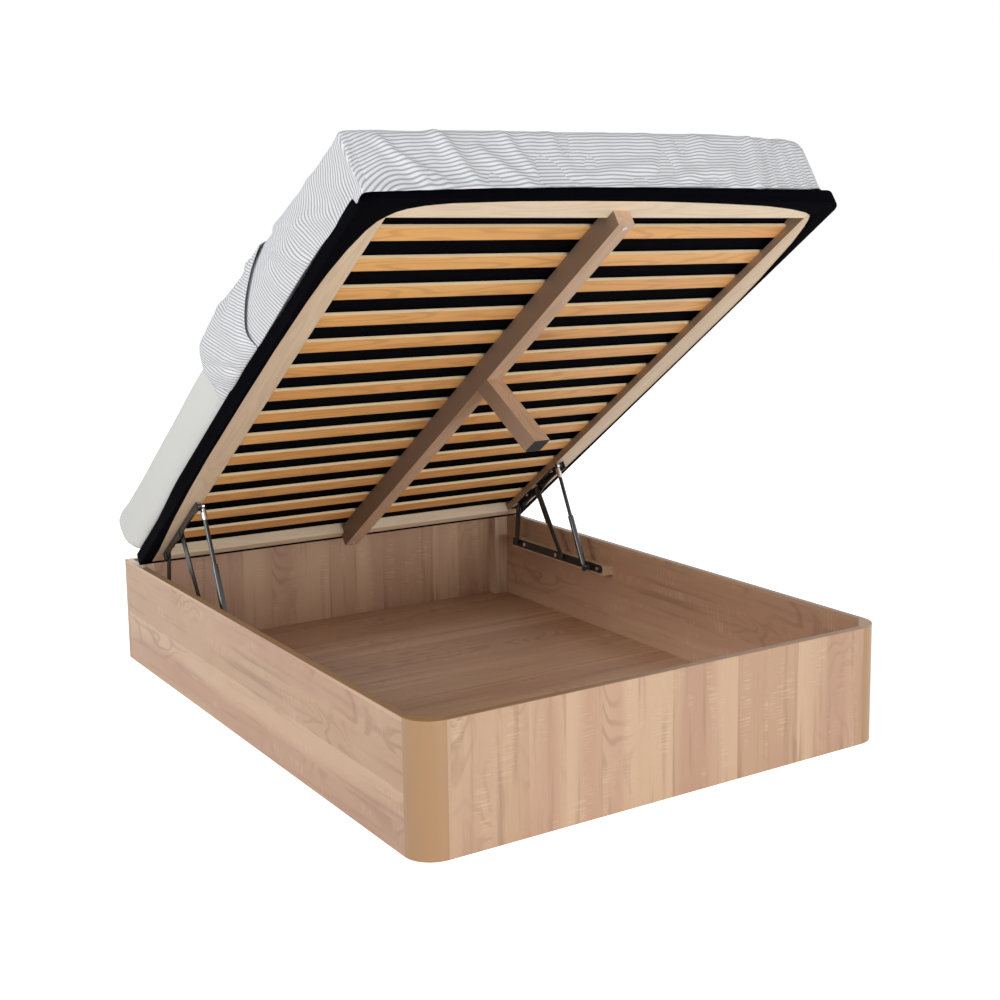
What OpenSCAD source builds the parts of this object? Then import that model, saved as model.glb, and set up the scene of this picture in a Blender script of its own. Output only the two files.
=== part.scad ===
// Lift-up platform bed: open-topped storage box, slatted lid on link brackets,
// gas struts, mattress and folded-back cover.
// Millimetres, +Z up. Origin: centre of the footprint on the floor.
// -Y is the foot end, +Y the head end, X is the symmetry axis.
// The lid is drawn at rest in its open pose. Lid parts are first drawn flat:
// Y = 0 at the head edge running to -Y at the foot, Z = 0 at the rails' underside.

/* [Node] */
// Sub-part to draw

/* [Box] */
// Outside width of the box
box_w = 1350; // [1200:10:1600]
// Outside length of the box
box_l = 1900; // [1800:10:2100]
// Height of the box rim
box_h = 310; // [250:5:380]
// Thickness of the box panels
panel_t = 19; // [16:1:25]
// Thickness of the edge banding on the rim
band_t = 1; // [0.5:0.5:2]
// Outside radius of the foot corner posts
post_r = 70; // [50:1:90]
// Width of the head corner blocks
block_w = 50; // [30:1:70]
// Depth of the head corner blocks
block_d = 45; // [30:1:70]
// Height of the head corner blocks above the floor
block_top = 300; // [200:1:304]
// Diameter of the post dowels
dowel_d = 8; // [6:1:12]
// Length of the post dowels
dowel_l = 32; // [24:2:50]
// Diameter of the head panel screws
head_screw_d = 5; // [4:0.5:7]
// Length of the head panel screws
head_screw_l = 55; // [40:5:80]

/* [Floor] */
// Height of the floor bearers
bearer_h = 12; // [10:1:30]
// Width of the floor bearers
bearer_w = 60; // [40:5:90]
// Centre of the outer bearers from the ends of the box
bearer_in = 106; // [102:1:160]
// Thickness of the floor boards
floor_t = 10; // [6:1:18]
// Gap round the floor boards
floor_gap = 0.5; // [0.3:0.1:2]
// Cut across the floor board at the foot posts
floor_cut = 54; // [52:1:80]

/* [Battens and base bars] */
// Thickness of the side battens
batten_w = 37; // [24:1:45]
// Height of the side battens
batten_h = 30; // [24:1:50]
// Underside of the side battens
batten_z = 212; // [150:1:240]
// Foot end of the side battens
batten_y0 = 236; // [150:1:300]
// Head end of the side battens
batten_y1 = 792; // [750:1:870]
// Thickness of steel plate in bars and brackets
plate_t = 3; // [2:0.5:5]
// Height of the base bars
bar_h = 26; // [20:1:40]
// Centre height of the base bars
bar_z = 232; // [200:1:260]
// Foot end of the base bars
bar_y0 = 240; // [200:1:300]
// Head end of the base bars
bar_y1 = 784; // [760:1:860]
// Bolt positions along the base bars
bar_bolt_y = [264, 509, 706];
// Shank diameter of the bolts
bolt_d = 6; // [5:0.5:8]
// Head diameter of the bolts
bolt_head_d = 13; // [10:0.5:18]
// Head height of the bolts
bolt_head_h = 3; // [2:0.5:5]
// Length of the bolts in the timber
bolt_l = 22; // [15:1:30]

/* [Links] */
// Thickness of the links
link_t = 3.6; // [2:0.2:6]
// Side gap at each face of a link
link_gap = 0.4; // [0.2:0.1:1]
// Eye radius of the links at the lid
link_r_top = 13; // [10:0.5:16]
// Eye radius of the rear links at the base bar
link_r_low = 11; // [9:0.5:16]
// Eye radius of the front links at the base bar
front_r_low = 9; // [8.5:0.5:12]
// Width of the front links' broad part on the head side
front_wide = 17; // [12:1:20]
// Share of the front links' length below the broad part
front_step = 0.54; // [0.4:0.02:0.7]
// Diameter of the pivot pins
pin_d = 10; // [6:0.5:12]
// Head diameter of the pivot pins
pin_head_d = 16; // [12:0.5:20]
// Head height of the pivot pins
pin_head_h = 2; // [1:0.5:4]
// Radial running clearance of the pivot pins
run_gap = 0.05; // [0.02:0.01:0.1]
// Height of the rear link pivot on the base bar
rear_z = 234; // [220:1:245]
// Height of the front link pivot on the base bar
front_z = 235; // [220:1:245]

/* [Lid pose] */
// Opening angle at rest
lid_tilt = 34; // [20:1:50]
// Y of the lid's head edge at rest
lid_y = 819; // [780:1:860]
// Z of the lid's head edge at rest
lid_z = 316; // [312:1:340]
// Gap from the rim to the rails' underside when closed
lid_gap = 2; // [1:0.5:6]

/* [Lid frame] */
// Inset of the lid from the box outline
lid_inset = 2; // [0:0.5:6]
// Overhang of the lid past the foot panel when closed
lid_over = 20; // [0:1:30]
// Radius of the lid's foot corners
lid_r = 40; // [25:1:68]
// Thickness of the rails
rail_t = 34; // [22:1:45]
// Width of the side rails
side_rail_w = 75; // [70:1:90]
// Width of the foot rail
foot_rail_w = 73; // [50:1:90]
// Width of the head rail
head_rail_w = 46; // [40:1:80]
// Head-side edge of the last slat from the lid's head edge
slat_last = 116.1; // [100:0.1:140]
// Width of the slats
slat_w = 53; // [45:1:65]
// Thickness of the slats
slat_t = 8.5; // [7:0.5:14]
// Foot-side edge of the first slat from the lid's foot edge
slat_first = 144; // [130:1:160]
// Depth of the slats' top face in the rails
slat_drop = 4; // [0:0.5:8]
// Length of each slat end in its rebate
slat_seat = 20; // [12:1:30]
// Fit gap round the slat ends
slat_gap = 0.25; // [0.1:0.05:1]

/* [Lid beam and leg] */
// Width of the centre beam
beam_w = 46; // [35:1:60]
// Drop of the centre beam below the rails
beam_drop = 39; // [30:1:60]
// Head end of the beam from the head edge
beam_v0 = 28; // [20:1:60]
// Foot end of the beam from the head edge
beam_v1 = 1871; // [1850:1:1885]
// Head-side edge of the leg on the beam
leg_v = 1073; // [900:1:1200]
// Depth of the leg along the beam
leg_d = 60; // [40:1:80]
// Lean of the leg toward the foot
leg_lean = 26; // [0:1:35]
// Thickness of the leg pad
pad_t = 3; // [2:0.5:6]
// Gap from the leg pad to the floor when closed
pad_gap = 0.6; // [0.3:0.1:3]
// Diameter of the beam screws
beam_screw_d = 6; // [5:0.5:8]
// Depth of the beam screws in the rails
beam_screw_in = 22; // [15:1:30]
// Depth of the leg screws in the leg
leg_screw_in = 40; // [25:1:60]
// Positions of the beam screws on the rails
beam_screw_v = [38, 1858];

/* [Lid brackets] */
// Width of the flange under the rail
flange_w = 17; // [15:0.5:18]
// Foot end of the flange from the head edge
flange_v1 = 402; // [380:1:404]
// Radius of the flange's recesses at the link eyes
flange_cut_r = 18; // [16:0.5:20]
// Start of the bracket from the head edge
bracket_v0 = 66; // [60:1:80]
// End of the bracket from the head edge
bracket_v1 = 430; // [425:1:450]
// Depth of the bracket at its ends and pivots
bracket_dip = 26; // [22:1:30]
// Depth of the waists between the pivots
bracket_waist = 8; // [0:1:12]
// Radius of the bracket round its pivots
bracket_r = 14; // [12:0.5:18]
// Bolt positions along the bracket
bracket_bolt_v = [174, 361];
// Length of the bracket bolts in the rails
bracket_bolt_l = 18; // [12:1:20]
// Rear link pivot from the head edge
rear_v = 94; // [80:1:110]
// Front link pivot from the head edge
front_v = 240; // [220:1:260]
// Depth of both link pivots under the rails
pivot_w = 14; // [12:1:18]

/* [Gas struts] */
// Strut stud from the head edge
stud_v = 417; // [400:1:424]
// Depth of the strut stud under the rails
stud_w = 9; // [7:0.5:14]
// Strut pivot on the base bar, Y
strut_y = 312; // [290:1:340]
// Strut pivot on the base bar, Z
strut_z = 227; // [222:1:240]
// Centre of the struts from the bed's centre plane
strut_x = 598; // [594:1:599]
// Diameter of the strut cylinder
cyl_d = 18; // [15:1:22]
// Bore of the strut cylinder
cyl_bore = 14; // [11:0.5:18]
// Top of the cylinder from the strut pivot
cyl_l = 178; // [165:1:190]
// Diameter of the strut rod
rod_d = 12; // [8:0.5:12.5]
// Inner end of the rod from the strut pivot
rod_start = 150; // [145:1:155]
// Length of the fitting at the rod's top end
fitting_l = 28; // [20:1:34]
// Diameter of the strut eyes
eye_d = 19; // [16:0.5:24]
// Thickness of the strut eyes
eye_t = 8; // [6:0.5:10]
// Diameter of the strut pins
strut_pin_d = 8; // [6:0.5:10]
// Height of the piston
piston_h = 8; // [6:1:12]

/* [Lid cover] */
// Thickness of the black fabric
cloth_t = 1.5; // [1:0.1:3]
// Turn-in of the fabric under the side rails
border_side = 20; // [14:1:22]
// Turn-in of the fabric under the head rail
border_head = 14; // [8:1:20]
// Turn-in of the fabric under the middle of the foot rail
border_foot = 5; // [4:1:12]

/* [Mattress] */
// Half width of the mattress
mat_half = 680; // [660:1:700]
// Overhang of the mattress past the head edge
mat_over = 108; // [60:1:120]
// Foot end of the mattress from the head edge
mat_end = 1900; // [1880:1:1910]
// Thickness of the mattress at its crown
mat_t = 168; // [120:1:220]
// Corner radius of the mattress in plan
mat_r = 70; // [40:1:110]
// Gap between soft pieces
soft_gap = 0.3; // [0.3:0.1:4]

/* [Bed cover] */
// Head-side hem of the cover from the head edge
cover_v0 = 930; // [700:10:1000]
// Start of the folded-back part from the head edge
fold_v = 1450; // [1200:5:1500]
// Length of the rounded fold at the head side
fold_round = 60; // [30:5:120]
// Length of the slope down to the foot-side hem
fold_slope = 330; // [150:10:400]
// Extra height of the folded-back part
fold_h = 50; // [20:1:80]
// Extra width of the folded-back part
fold_out = 34; // [10:1:60]
// Thickness of the cover
cover_t = 14; // [8:1:30]
// Outward bow of the cover at the foot
foot_bow = 5; // [1:1:15]
// Height of the hem over the rails' underside
hem_z = 38; // [38:1:80]

/* [Hidden] */
$fn = 64;
half_w = box_w / 2;
half_l = box_l / 2;
in_x = half_w - panel_t;
post_x = half_w - post_r;
post_y = half_l - post_r;
rim = box_h - band_t;
floor_z = bearer_h + floor_t;
bar_x = in_x - batten_w;
face_x = bar_x - plate_t;
link_x = face_x - bolt_head_h - link_gap - link_t;
washer_x = face_x - bolt_head_h;
head_y = half_l - panel_t;
lid_w = half_w - lid_inset;
lid_l = box_l - 2 * lid_inset + lid_over;
frame_w = lid_w - cloth_t;
frame_l = lid_l - cloth_t;
rail_in = frame_w - side_rail_w;
closed_y = half_l - lid_inset;
closed_z = box_h + lid_gap;
leg_end = closed_z - floor_z - pad_gap - pad_t;
leg_shift = (leg_end - beam_drop) * tan(leg_lean);
slat_z = rail_t - slat_drop - slat_t;
slat_top = rail_t - slat_drop;
slat_n = 14;
slat_step = (lid_l - slat_first - slat_last - slat_w) / (slat_n - 1);
bearer_step = (half_l - bearer_in) / 2;

// A lid point (distance v from the head edge, depth w under the rails) as [Y, Z]
function lid_pt(v, w, y, z, t) =
  [y - v * cos(t) - w * sin(t), z + v * sin(t) - w * cos(t)];
// Y on the middle normal of p and q at height z: the pivot that serves both poses
function mid_y(p, q, z) = let(m = (p + q) / 2, d = q - p) m[0] - (z - m[1]) * d[1] / d[0];
function angle_to(p, q) = atan2(q[1] - p[1], q[0] - p[0]);

rear_open = lid_pt(rear_v, pivot_w, lid_y, lid_z, lid_tilt);
rear_shut = lid_pt(rear_v, pivot_w, closed_y, closed_z, 0);
front_open = lid_pt(front_v, pivot_w, lid_y, lid_z, lid_tilt);
front_shut = lid_pt(front_v, pivot_w, closed_y, closed_z, 0);
stud_open = lid_pt(stud_v, stud_w, lid_y, lid_z, lid_tilt);
rear_base = [mid_y(rear_open, rear_shut, rear_z), rear_z];
front_base = [mid_y(front_open, front_shut, front_z), front_z];
strut_base = [strut_y, strut_z];
rear_len = norm(rear_open - rear_base);
front_len = norm(front_open - front_base);
strut_len = norm(stud_open - strut_base);
echo("pivots", rear_base, rear_open, front_base, front_open, strut_base, stud_open);
echo("closed", rear_shut, front_shut, lid_pt(stud_v, stud_w, closed_y, closed_z, 0));

oak = [0.80, 0.66, 0.50];
tan_edge = [0.74, 0.58, 0.42];
pine = [0.85, 0.68, 0.47];
black = [0.08, 0.08, 0.09];
dark = [0.16, 0.16, 0.17];
steel = [0.72, 0.72, 0.74];
white = [0.93, 0.92, 0.90];

module box_at(x0, x1, y0, y1, z0, z1) translate([x0, y0, z0]) cube([x1 - x0, y1 - y0, z1 - z0]);
module left() mirror([1, 0, 0]) children();
module both() { children(); left() children(); }
module on_lid() translate([0, lid_y, lid_z]) rotate([-lid_tilt, 0, 0]) children();
// A flat profile drawn in (Y, Z) and given thickness t from x
module plate(x, t) translate([x, 0, 0]) rotate([90, 0, 90]) linear_extrude(t) children();
// The same for a profile drawn in lid terms (v, w)
module lid_plate(x, t) plate(x, t) rotate(180) children();
module pin(x0, x1, d, p)
  translate([x0, p[0], p[1]]) rotate([0, 90, 0]) cylinder(d = d, h = x1 - x0);
module lid_pin(x0, x1, d, p) pin(x0, x1, d, -p);
// A pin aimed along direction a from p, between distances s0 and s1
module aimed(p, a, s0, s1, d)
  translate([0, p[0], p[1]]) rotate([a - 90, 0, 0]) translate([0, 0, s0])
    cylinder(d = d, h = s1 - s0);

// ---- box ----
module side_panel() difference() {
  box_at(in_x, half_w, -post_y, head_y, 0, rim);
  post_dowel_set(floor_gap / 5);
  head_screw_set(floor_gap / 5);
}
module side_panel_left() color(oak) left() side_panel();
module side_panel_right() color(oak) side_panel();
module foot_panel() color(oak) difference() {
  box_at(-post_x, post_x, -half_l, -head_y, 0, rim);
  both() post_dowel_set(floor_gap / 5);
}
module head_panel() color(oak) difference() {
  box_at(-half_w, half_w, head_y, half_l, 0, rim);
  both() head_screw_set(floor_gap / 5);
}
module post_profile() difference() {
  intersection() {
    translate([post_x, -post_y]) circle(r = post_r);
    translate([post_x, -half_l]) square(post_r);
  }
  polygon([[post_x - 1, -post_y + 1], [in_x, -post_y + 1], [in_x, -post_y],
    [post_x, -head_y], [post_x - 1, -head_y]]);
}
module corner_post() difference() {
  linear_extrude(box_h) post_profile();
  post_dowel_set(floor_gap / 5);
}
module corner_post_left() color(tan_edge) left() corner_post();
module corner_post_right() color(tan_edge) corner_post();
module edge_banding() color(tan_edge) {
  both() box_at(in_x, half_w, -post_y, head_y, rim, box_h);
  box_at(-post_x, post_x, -half_l, -head_y, rim, box_h);
  box_at(-half_w, half_w, head_y, half_l, rim, box_h);
}
module corner_block() box_at(in_x - block_w, in_x, head_y - block_d, head_y, floor_z, block_top);
module corner_block_left() color(pine) left() corner_block();
module corner_block_right() color(pine) corner_block();
module post_dowel_set(gap) for (z = [0.25 * box_h, 0.75 * box_h]) {
  translate([half_w - panel_t / 2, -post_y + dowel_l / 2 + gap, z]) rotate([90, 0, 0])
    cylinder(d = dowel_d + 2 * gap, h = dowel_l + 2 * gap);
  translate([post_x - dowel_l / 2 - gap, -half_l + panel_t / 2, z]) rotate([0, 90, 0])
    cylinder(d = dowel_d + 2 * gap, h = dowel_l + 2 * gap);
}
module post_dowels() color(pine) both() post_dowel_set(0);
module head_screw_set(gap) for (z = [0.15 * box_h, 0.5 * box_h, 0.85 * box_h]) {
  translate([half_w - panel_t / 2, half_l, z]) rotate([90, 0, 0])
    cylinder(d = head_screw_d + 2 * gap, h = head_screw_l + gap);
  translate([half_w - panel_t / 2, half_l, z]) rotate([90, 0, 0])
    cylinder(d1 = 2 * head_screw_d + 2 * gap, d2 = head_screw_d + 2 * gap, h = head_screw_d);
}
module head_panel_screws() color(steel) both() head_screw_set(0);

// ---- floor ----
module floor_bearers() color(pine) for (i = [-2:2])
  box_at(-in_x + floor_gap, in_x - floor_gap, i * bearer_step - bearer_w / 2,
    i * bearer_step + bearer_w / 2, 0, bearer_h);
module floor_panel_head() color(oak)
  box_at(-in_x + floor_gap, in_x - floor_gap, floor_gap, head_y - floor_gap, bearer_h, floor_z);
module floor_panel_foot() color(oak) translate([0, 0, bearer_h]) linear_extrude(floor_t)
  polygon([[-in_x + floor_gap, -floor_gap], [-in_x + floor_gap, -head_y + floor_cut],
    [-in_x + floor_cut, -head_y + floor_gap], [in_x - floor_cut, -head_y + floor_gap],
    [in_x - floor_gap, -head_y + floor_cut], [in_x - floor_gap, -floor_gap]]);

// ---- battens, base bars and their fixings ----
module base_bolt_set(gap) for (y = bar_bolt_y) {
  pin(face_x, bar_x + bolt_l + gap, bolt_d + 2 * gap, [y, bar_z]);
  if (gap == 0) pin(face_x - bolt_head_h, face_x, bolt_head_d, [y, bar_z]);
}
module batten() difference() {
  box_at(bar_x, in_x, batten_y0, batten_y1, batten_z, batten_z + batten_h);
  base_bolt_set(run_gap);
  for (p = [rear_base, front_base, strut_base])
    pin(bar_x - 1, bar_x + pin_head_h + run_gap, pin_head_d + 1, p);
}
module batten_left() color(pine) left() batten();
module batten_right() color(pine) batten();
module base_bar() difference() {
  plate(face_x, plate_t) union() {
    translate([bar_y0 + bar_h / 2, bar_z]) circle(d = bar_h);
    translate([bar_y0 + bar_h / 2, bar_z - bar_h / 2])
      square([bar_y1 - bar_y0 - bar_h / 2, bar_h]);
  }
  base_bolt_set(run_gap);
  for (p = [rear_base, front_base]) pin(face_x - 1, bar_x + 1, pin_d + 2 * run_gap, p);
  pin(face_x - 1, bar_x + 1, strut_pin_d + 2 * run_gap, strut_base);
}
module base_bar_left() color(black) left() base_bar();
module base_bar_right() color(black) base_bar();
module base_bolts() color(steel) both() base_bolt_set(0);
module base_pivots() color(dark) both() {
  for (p = [rear_base, front_base]) {
    pin(link_x - pin_head_h, link_x - link_gap, pin_head_d, p);
    pin(link_x - pin_head_h, bar_x + pin_head_h, pin_d, p);
    pin(washer_x, face_x, pin_head_d - 2, p);
    pin(bar_x, bar_x + pin_head_h, pin_head_d, p);
  }
  pin(strut_x - eye_t / 2 - pin_head_h, strut_x - eye_t / 2 - link_gap, pin_head_d - 2, strut_base);
  pin(strut_x - eye_t / 2 - pin_head_h, bar_x + pin_head_h, strut_pin_d, strut_base);
  pin(strut_x + eye_t / 2 + link_gap, face_x, pin_head_d - 2, strut_base);
  pin(bar_x, bar_x + pin_head_h, pin_head_d, strut_base);
}

// ---- links ----
// A flat bar with round ends: radius r0 at the origin, r1 at [0, len]
module link_profile(len, r0, r1) {
  lean = asin((r1 - r0) / len);
  circle(r = r0);
  translate([0, len]) circle(r = r1);
  polygon([[r0 * cos(lean), -r0 * sin(lean)], [r1 * cos(lean), len - r1 * sin(lean)],
    [-r1 * cos(lean), len - r1 * sin(lean)], [-r0 * cos(lean), -r0 * sin(lean)]]);
}
// A link from its pivot on the base bar to the one on the lid; children: its flat shape
module link_bar(base, tip) difference() {
  plate(link_x, link_t) translate(base) rotate(angle_to(base, tip) - 90) children();
  for (p = [base, tip]) pin(link_x - 1, face_x, pin_d + 2 * run_gap, p);
}
module rear_link() link_bar(rear_base, rear_open) link_profile(rear_len, link_r_low, link_r_top);
module rear_link_left() color(black) left() rear_link();
module rear_link_right() color(black) rear_link();
// The front link is broad on its head side above a step
module front_link() link_bar(front_base, front_open) {
  link_profile(front_len, front_r_low, link_r_top);
  polygon([[0, (front_step - 0.06) * front_len], [front_r_low, (front_step - 0.06) * front_len],
    [front_wide, front_step * front_len], [link_r_top, front_len], [0, front_len]]);
}
module front_link_left() color(black) left() front_link();
module front_link_right() color(black) front_link();
module front_link_rivets() color(dark) both() {
  pin(link_x - pin_head_h, link_x, pin_head_d, front_open);
  pin(link_x - pin_head_h, link_x + link_t, pin_d, front_open);
}

// ---- gas struts ----
strut_a = angle_to(strut_base, stud_open);
neck = eye_d / 2 + 4;
module strut_cylinder() difference() {
  union() {
    translate([strut_x, 0, 0]) aimed(strut_base, strut_a, neck, cyl_l, cyl_d);
    translate([strut_x, 0, 0]) aimed(strut_base, strut_a, strut_pin_d, neck + 1, cyl_d / 2);
    pin(strut_x - eye_t / 2, strut_x + eye_t / 2, eye_d, strut_base);
  }
  translate([strut_x, 0, 0]) aimed(strut_base, strut_a, neck + 6, cyl_l - 6, cyl_bore);
  translate([strut_x, 0, 0]) aimed(strut_base, strut_a, cyl_l - 8, cyl_l + 1, rod_d + 2 * run_gap);
  pin(strut_x - eye_t, strut_x + eye_t, strut_pin_d + 2 * run_gap, strut_base);
}
module strut_cylinder_left() color(black) left() strut_cylinder();
module strut_cylinder_right() color(black) strut_cylinder();
module strut_rod() {
  fitting_end = strut_len - eye_d / 2;
  translate([strut_x, 0, 0]) {
    aimed(strut_base, strut_a, rod_start, fitting_end - fitting_l, rod_d);
    aimed(strut_base, strut_a, fitting_end - fitting_l, fitting_end, rod_d + 3);
    aimed(strut_base, strut_a, fitting_end, strut_len - eye_d / 3, eye_t - 2 * link_gap);
  }
  pin(strut_x - eye_t / 2, strut_x + eye_t / 2, eye_d - 2, stud_open);
}
module strut_rod_left() color(black) left() strut_rod();
module strut_rod_right() color(black) strut_rod();
module strut_pistons() color(dark) both() translate([strut_x, 0, 0])
  aimed(strut_base, strut_a, rod_start - piston_h, rod_start, cyl_bore - 2 * run_gap);

// ---- lid frame ----
module lid_outline(inset) {
  w = lid_w - inset;
  l = lid_l - inset;
  r = lid_r - inset;
  translate([-w, -l + r]) square([2 * w, l - r - inset]);
  translate([-w + r, -l]) square([2 * (w - r), r]);
  for (s = [-1, 1]) translate([s * (w - r), -l + r]) circle(r = r);
}
module side_rail() difference() {
  linear_extrude(rail_t) intersection() {
    lid_outline(cloth_t);
    translate([rail_in, -lid_l]) square([side_rail_w, lid_l]);
  }
  box_at(rail_in - 1, rail_in + slat_seat + slat_gap, -lid_l + slat_first - slat_gap,
    -head_rail_w, slat_z, rail_t + 1);
  bracket_bolt_set(run_gap);
}
module side_rail_left() color(pine) on_lid() left() side_rail();
module side_rail_right() color(pine) on_lid() side_rail();
module foot_rail() color(pine) on_lid() difference() {
  box_at(-rail_in, rail_in, -frame_l, -frame_l + foot_rail_w, 0, rail_t);
  beam_screw_set(run_gap);
}
module head_rail() color(pine) on_lid() difference() {
  box_at(-rail_in, rail_in, -head_rail_w, -cloth_t, 0, rail_t);
  beam_screw_set(run_gap);
}
// Slat i, counted from the foot end
module slat(i) color(pine) on_lid()
  box_at(-rail_in - slat_seat, rail_in + slat_seat,
    -lid_l + slat_first + i * slat_step, -lid_l + slat_first + i * slat_step + slat_w,
    slat_z, slat_top);

// ---- beam and leg ----
module beam_screw_set(gap) for (v = beam_screw_v) {
  translate([0, -v, -beam_drop]) cylinder(d = beam_screw_d + 2 * gap, h = beam_drop + beam_screw_in + gap);
  if (gap == 0) translate([0, -v, -beam_drop - bolt_head_h])
    cylinder(d = bolt_head_d, h = bolt_head_h);
}
module leg_screw_set(gap) for (v = [leg_v + 20, leg_v + leg_d - 16])
  translate([0, -v, -beam_drop - leg_screw_in - gap])
    cylinder(d = beam_screw_d + 2 * gap, h = slat_z + beam_drop + leg_screw_in + 2 * gap);
module centre_beam() color(pine) on_lid() difference() {
  lid_plate(-beam_w / 2, beam_w) polygon([[beam_v0, beam_drop], [beam_v1, beam_drop],
    [beam_v1, 0], [frame_l - foot_rail_w, 0], [frame_l - foot_rail_w, -slat_z],
    [head_rail_w, -slat_z], [head_rail_w, 0], [beam_v0, 0]]);
  beam_screw_set(run_gap);
  leg_screw_set(run_gap);
}
module centre_leg() color(pine) on_lid() difference() {
  lid_plate(-beam_w / 2, beam_w) polygon([[leg_v, beam_drop], [leg_v + leg_d, beam_drop],
    [leg_v + leg_d + leg_shift, leg_end], [leg_v + leg_shift, leg_end]]);
  leg_screw_set(run_gap);
}
module leg_pad() color(dark) on_lid()
  box_at(-beam_w / 2 + 2, beam_w / 2 - 2, -leg_v - leg_d - leg_shift + 2,
    -leg_v - leg_shift - 2, -leg_end - pad_t, -leg_end);
module beam_screws() color(steel) on_lid() {
  beam_screw_set(0);
  leg_screw_set(0);
}

// ---- lid brackets ----
module bracket_bolt_set(gap) for (v = bracket_bolt_v) translate([face_x - flange_w / 2, -v, 0]) {
  translate([0, 0, -plate_t]) cylinder(d = bolt_d + 2 * gap, h = plate_t + bracket_bolt_l + gap);
  if (gap == 0) translate([0, 0, -plate_t - bolt_head_h])
    cylinder(d = bolt_head_d, h = bolt_head_h);
}
// An arc that hollows the web between distances v0 and v1
module waist(v0, v1) let(half = (v1 - v0) / 2,
    r = (half * half + bracket_waist * bracket_waist) / (2 * bracket_waist))
  translate([(v0 + v1) / 2, bracket_dip + r - bracket_waist]) circle(r = r);
module lid_bracket() difference() {
  union() {
    translate([0, 0, -plate_t]) linear_extrude(plate_t) difference() {
      polygon([[bar_x, -bracket_v0], [face_x - flange_w, -bracket_v0],
        [face_x - flange_w, -flange_v1 + flange_w], [face_x, -flange_v1], [face_x, -bracket_v1],
        [bar_x, -bracket_v1]]);
      for (v = [rear_v, front_v]) translate([face_x - flange_w, -v]) circle(r = flange_cut_r);
    }
    lid_plate(face_x, plate_t) {
      difference() {
        translate([bracket_v0, 0]) square([bracket_v1 - bracket_v0, bracket_dip]);
        waist(rear_v + bracket_r, front_v - bracket_r);
        waist(front_v + bracket_r, bracket_v1 - bracket_r);
      }
      for (v = [rear_v, front_v]) translate([v, pivot_w]) circle(r = bracket_r);
    }
  }
  bracket_bolt_set(run_gap);
  for (v = [rear_v, front_v]) lid_pin(face_x - 1, bar_x + 1, pin_d + 2 * run_gap, [v, pivot_w]);
}
module lid_bracket_left() color(black) on_lid() left() lid_bracket();
module lid_bracket_right() color(black) on_lid() lid_bracket();
module bracket_bolts() color(steel) on_lid() both() bracket_bolt_set(0);
module bracket_pivots() color(dark) on_lid() both() {
  lid_pin(link_x - pin_head_h, bar_x + pin_head_h, pin_d, [rear_v, pivot_w]);
  lid_pin(link_x - pin_head_h, link_x - link_gap, pin_head_d, [rear_v, pivot_w]);
  lid_pin(washer_x, face_x, pin_head_d - 2, [rear_v, pivot_w]);
  lid_pin(bar_x, bar_x + pin_head_h, pin_head_d, [rear_v, pivot_w]);
  lid_pin(washer_x, bar_x + pin_head_h, pin_d, [front_v, pivot_w]);
  lid_pin(washer_x, face_x, pin_head_d - 2, [front_v, pivot_w]);
  lid_pin(bar_x, bar_x + pin_head_h, pin_head_d, [front_v, pivot_w]);
  lid_pin(strut_x + eye_t / 2 + 4 * link_gap, face_x, eye_d - 5, [stud_v, stud_w]);
}

// ---- soft pieces ----
// Under-rail opening of the fabric, right half, from the head to the foot middle:
// [distance from the centre line, distance from the foot edge]
border_pts = [[lid_w - border_side, 520], [650, 354], [636, 255], [628, 168], [614, 97],
  [604, 52], [573, 36], [483, 20], [343, 9], [150, border_foot + 1], [0, border_foot]];
module border_hole() for (s = [0, 1]) mirror([s, 0]) polygon(concat(
  [[-1, -border_head], [lid_w - border_side, -border_head]],
  [for (p = border_pts) [p[0], p[1] - lid_l]], [[-1, border_foot - lid_l]]));
module lid_cover() color(black) on_lid() {
  translate([0, 0, rail_t]) linear_extrude(cloth_t) lid_outline(0);
  linear_extrude(rail_t) difference() {
    lid_outline(0);
    lid_outline(cloth_t);
  }
  translate([0, 0, -cloth_t]) linear_extrude(cloth_t) difference() {
    lid_outline(0);
    border_hole();
  }
}

mat_z = rail_t + cloth_t + soft_gap / 4;
// Sides of the mattress from below to the crown:
// [inset from the edge, height share, further inset of the slanting head end]
mat_rise = [[34, 0, 88], [12, 0.02, 86], [3, 0.09, 78], [6, 0.2, 58], [1, 0.42, 22], [0, 0.6, 4],
  [5, 0.8, 0], [3, 0.88, 3], [12, 0.945, 6], [40, 0.965, 8], [150, 0.985, 8], [400, 1, 8]];
corner_n = 6;
// Rounded rectangle ring at inset d and height z, with e more at the head
function ring(d, z, e) = let(w = mat_half - d, y0 = -mat_end + d, y1 = mat_over - d - e,
    r = max(mat_r - d, 20)) [for (c = [0:3], k = [0:corner_n]) let(a = 90 * (c + k / corner_n),
    sx = (c == 0 || c == 3) ? 1 : -1, top = c < 2)
    [sx * (w - r) + r * cos(a), (top ? y1 - r : y0 + r) + r * sin(a), z]];
module mattress() color(white) on_lid() {
  n = 4 * (corner_n + 1);
  rings = [for (p = mat_rise) ring(p[0], mat_z + p[1] * mat_t, p[2])];
  m = len(rings);
  polyhedron(points = [for (g = rings) each g], faces = concat(
    [[for (k = [0:n - 1]) k]], [[for (k = [n - 1:-1:0]) (m - 1) * n + k]],
    [for (i = [0:m - 2], k = [0:n - 1]) let(a = i * n + k, b = i * n + (k + 1) % n)
      each [[a, a + n, b], [b, a + n, b + n]]]));
}

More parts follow.
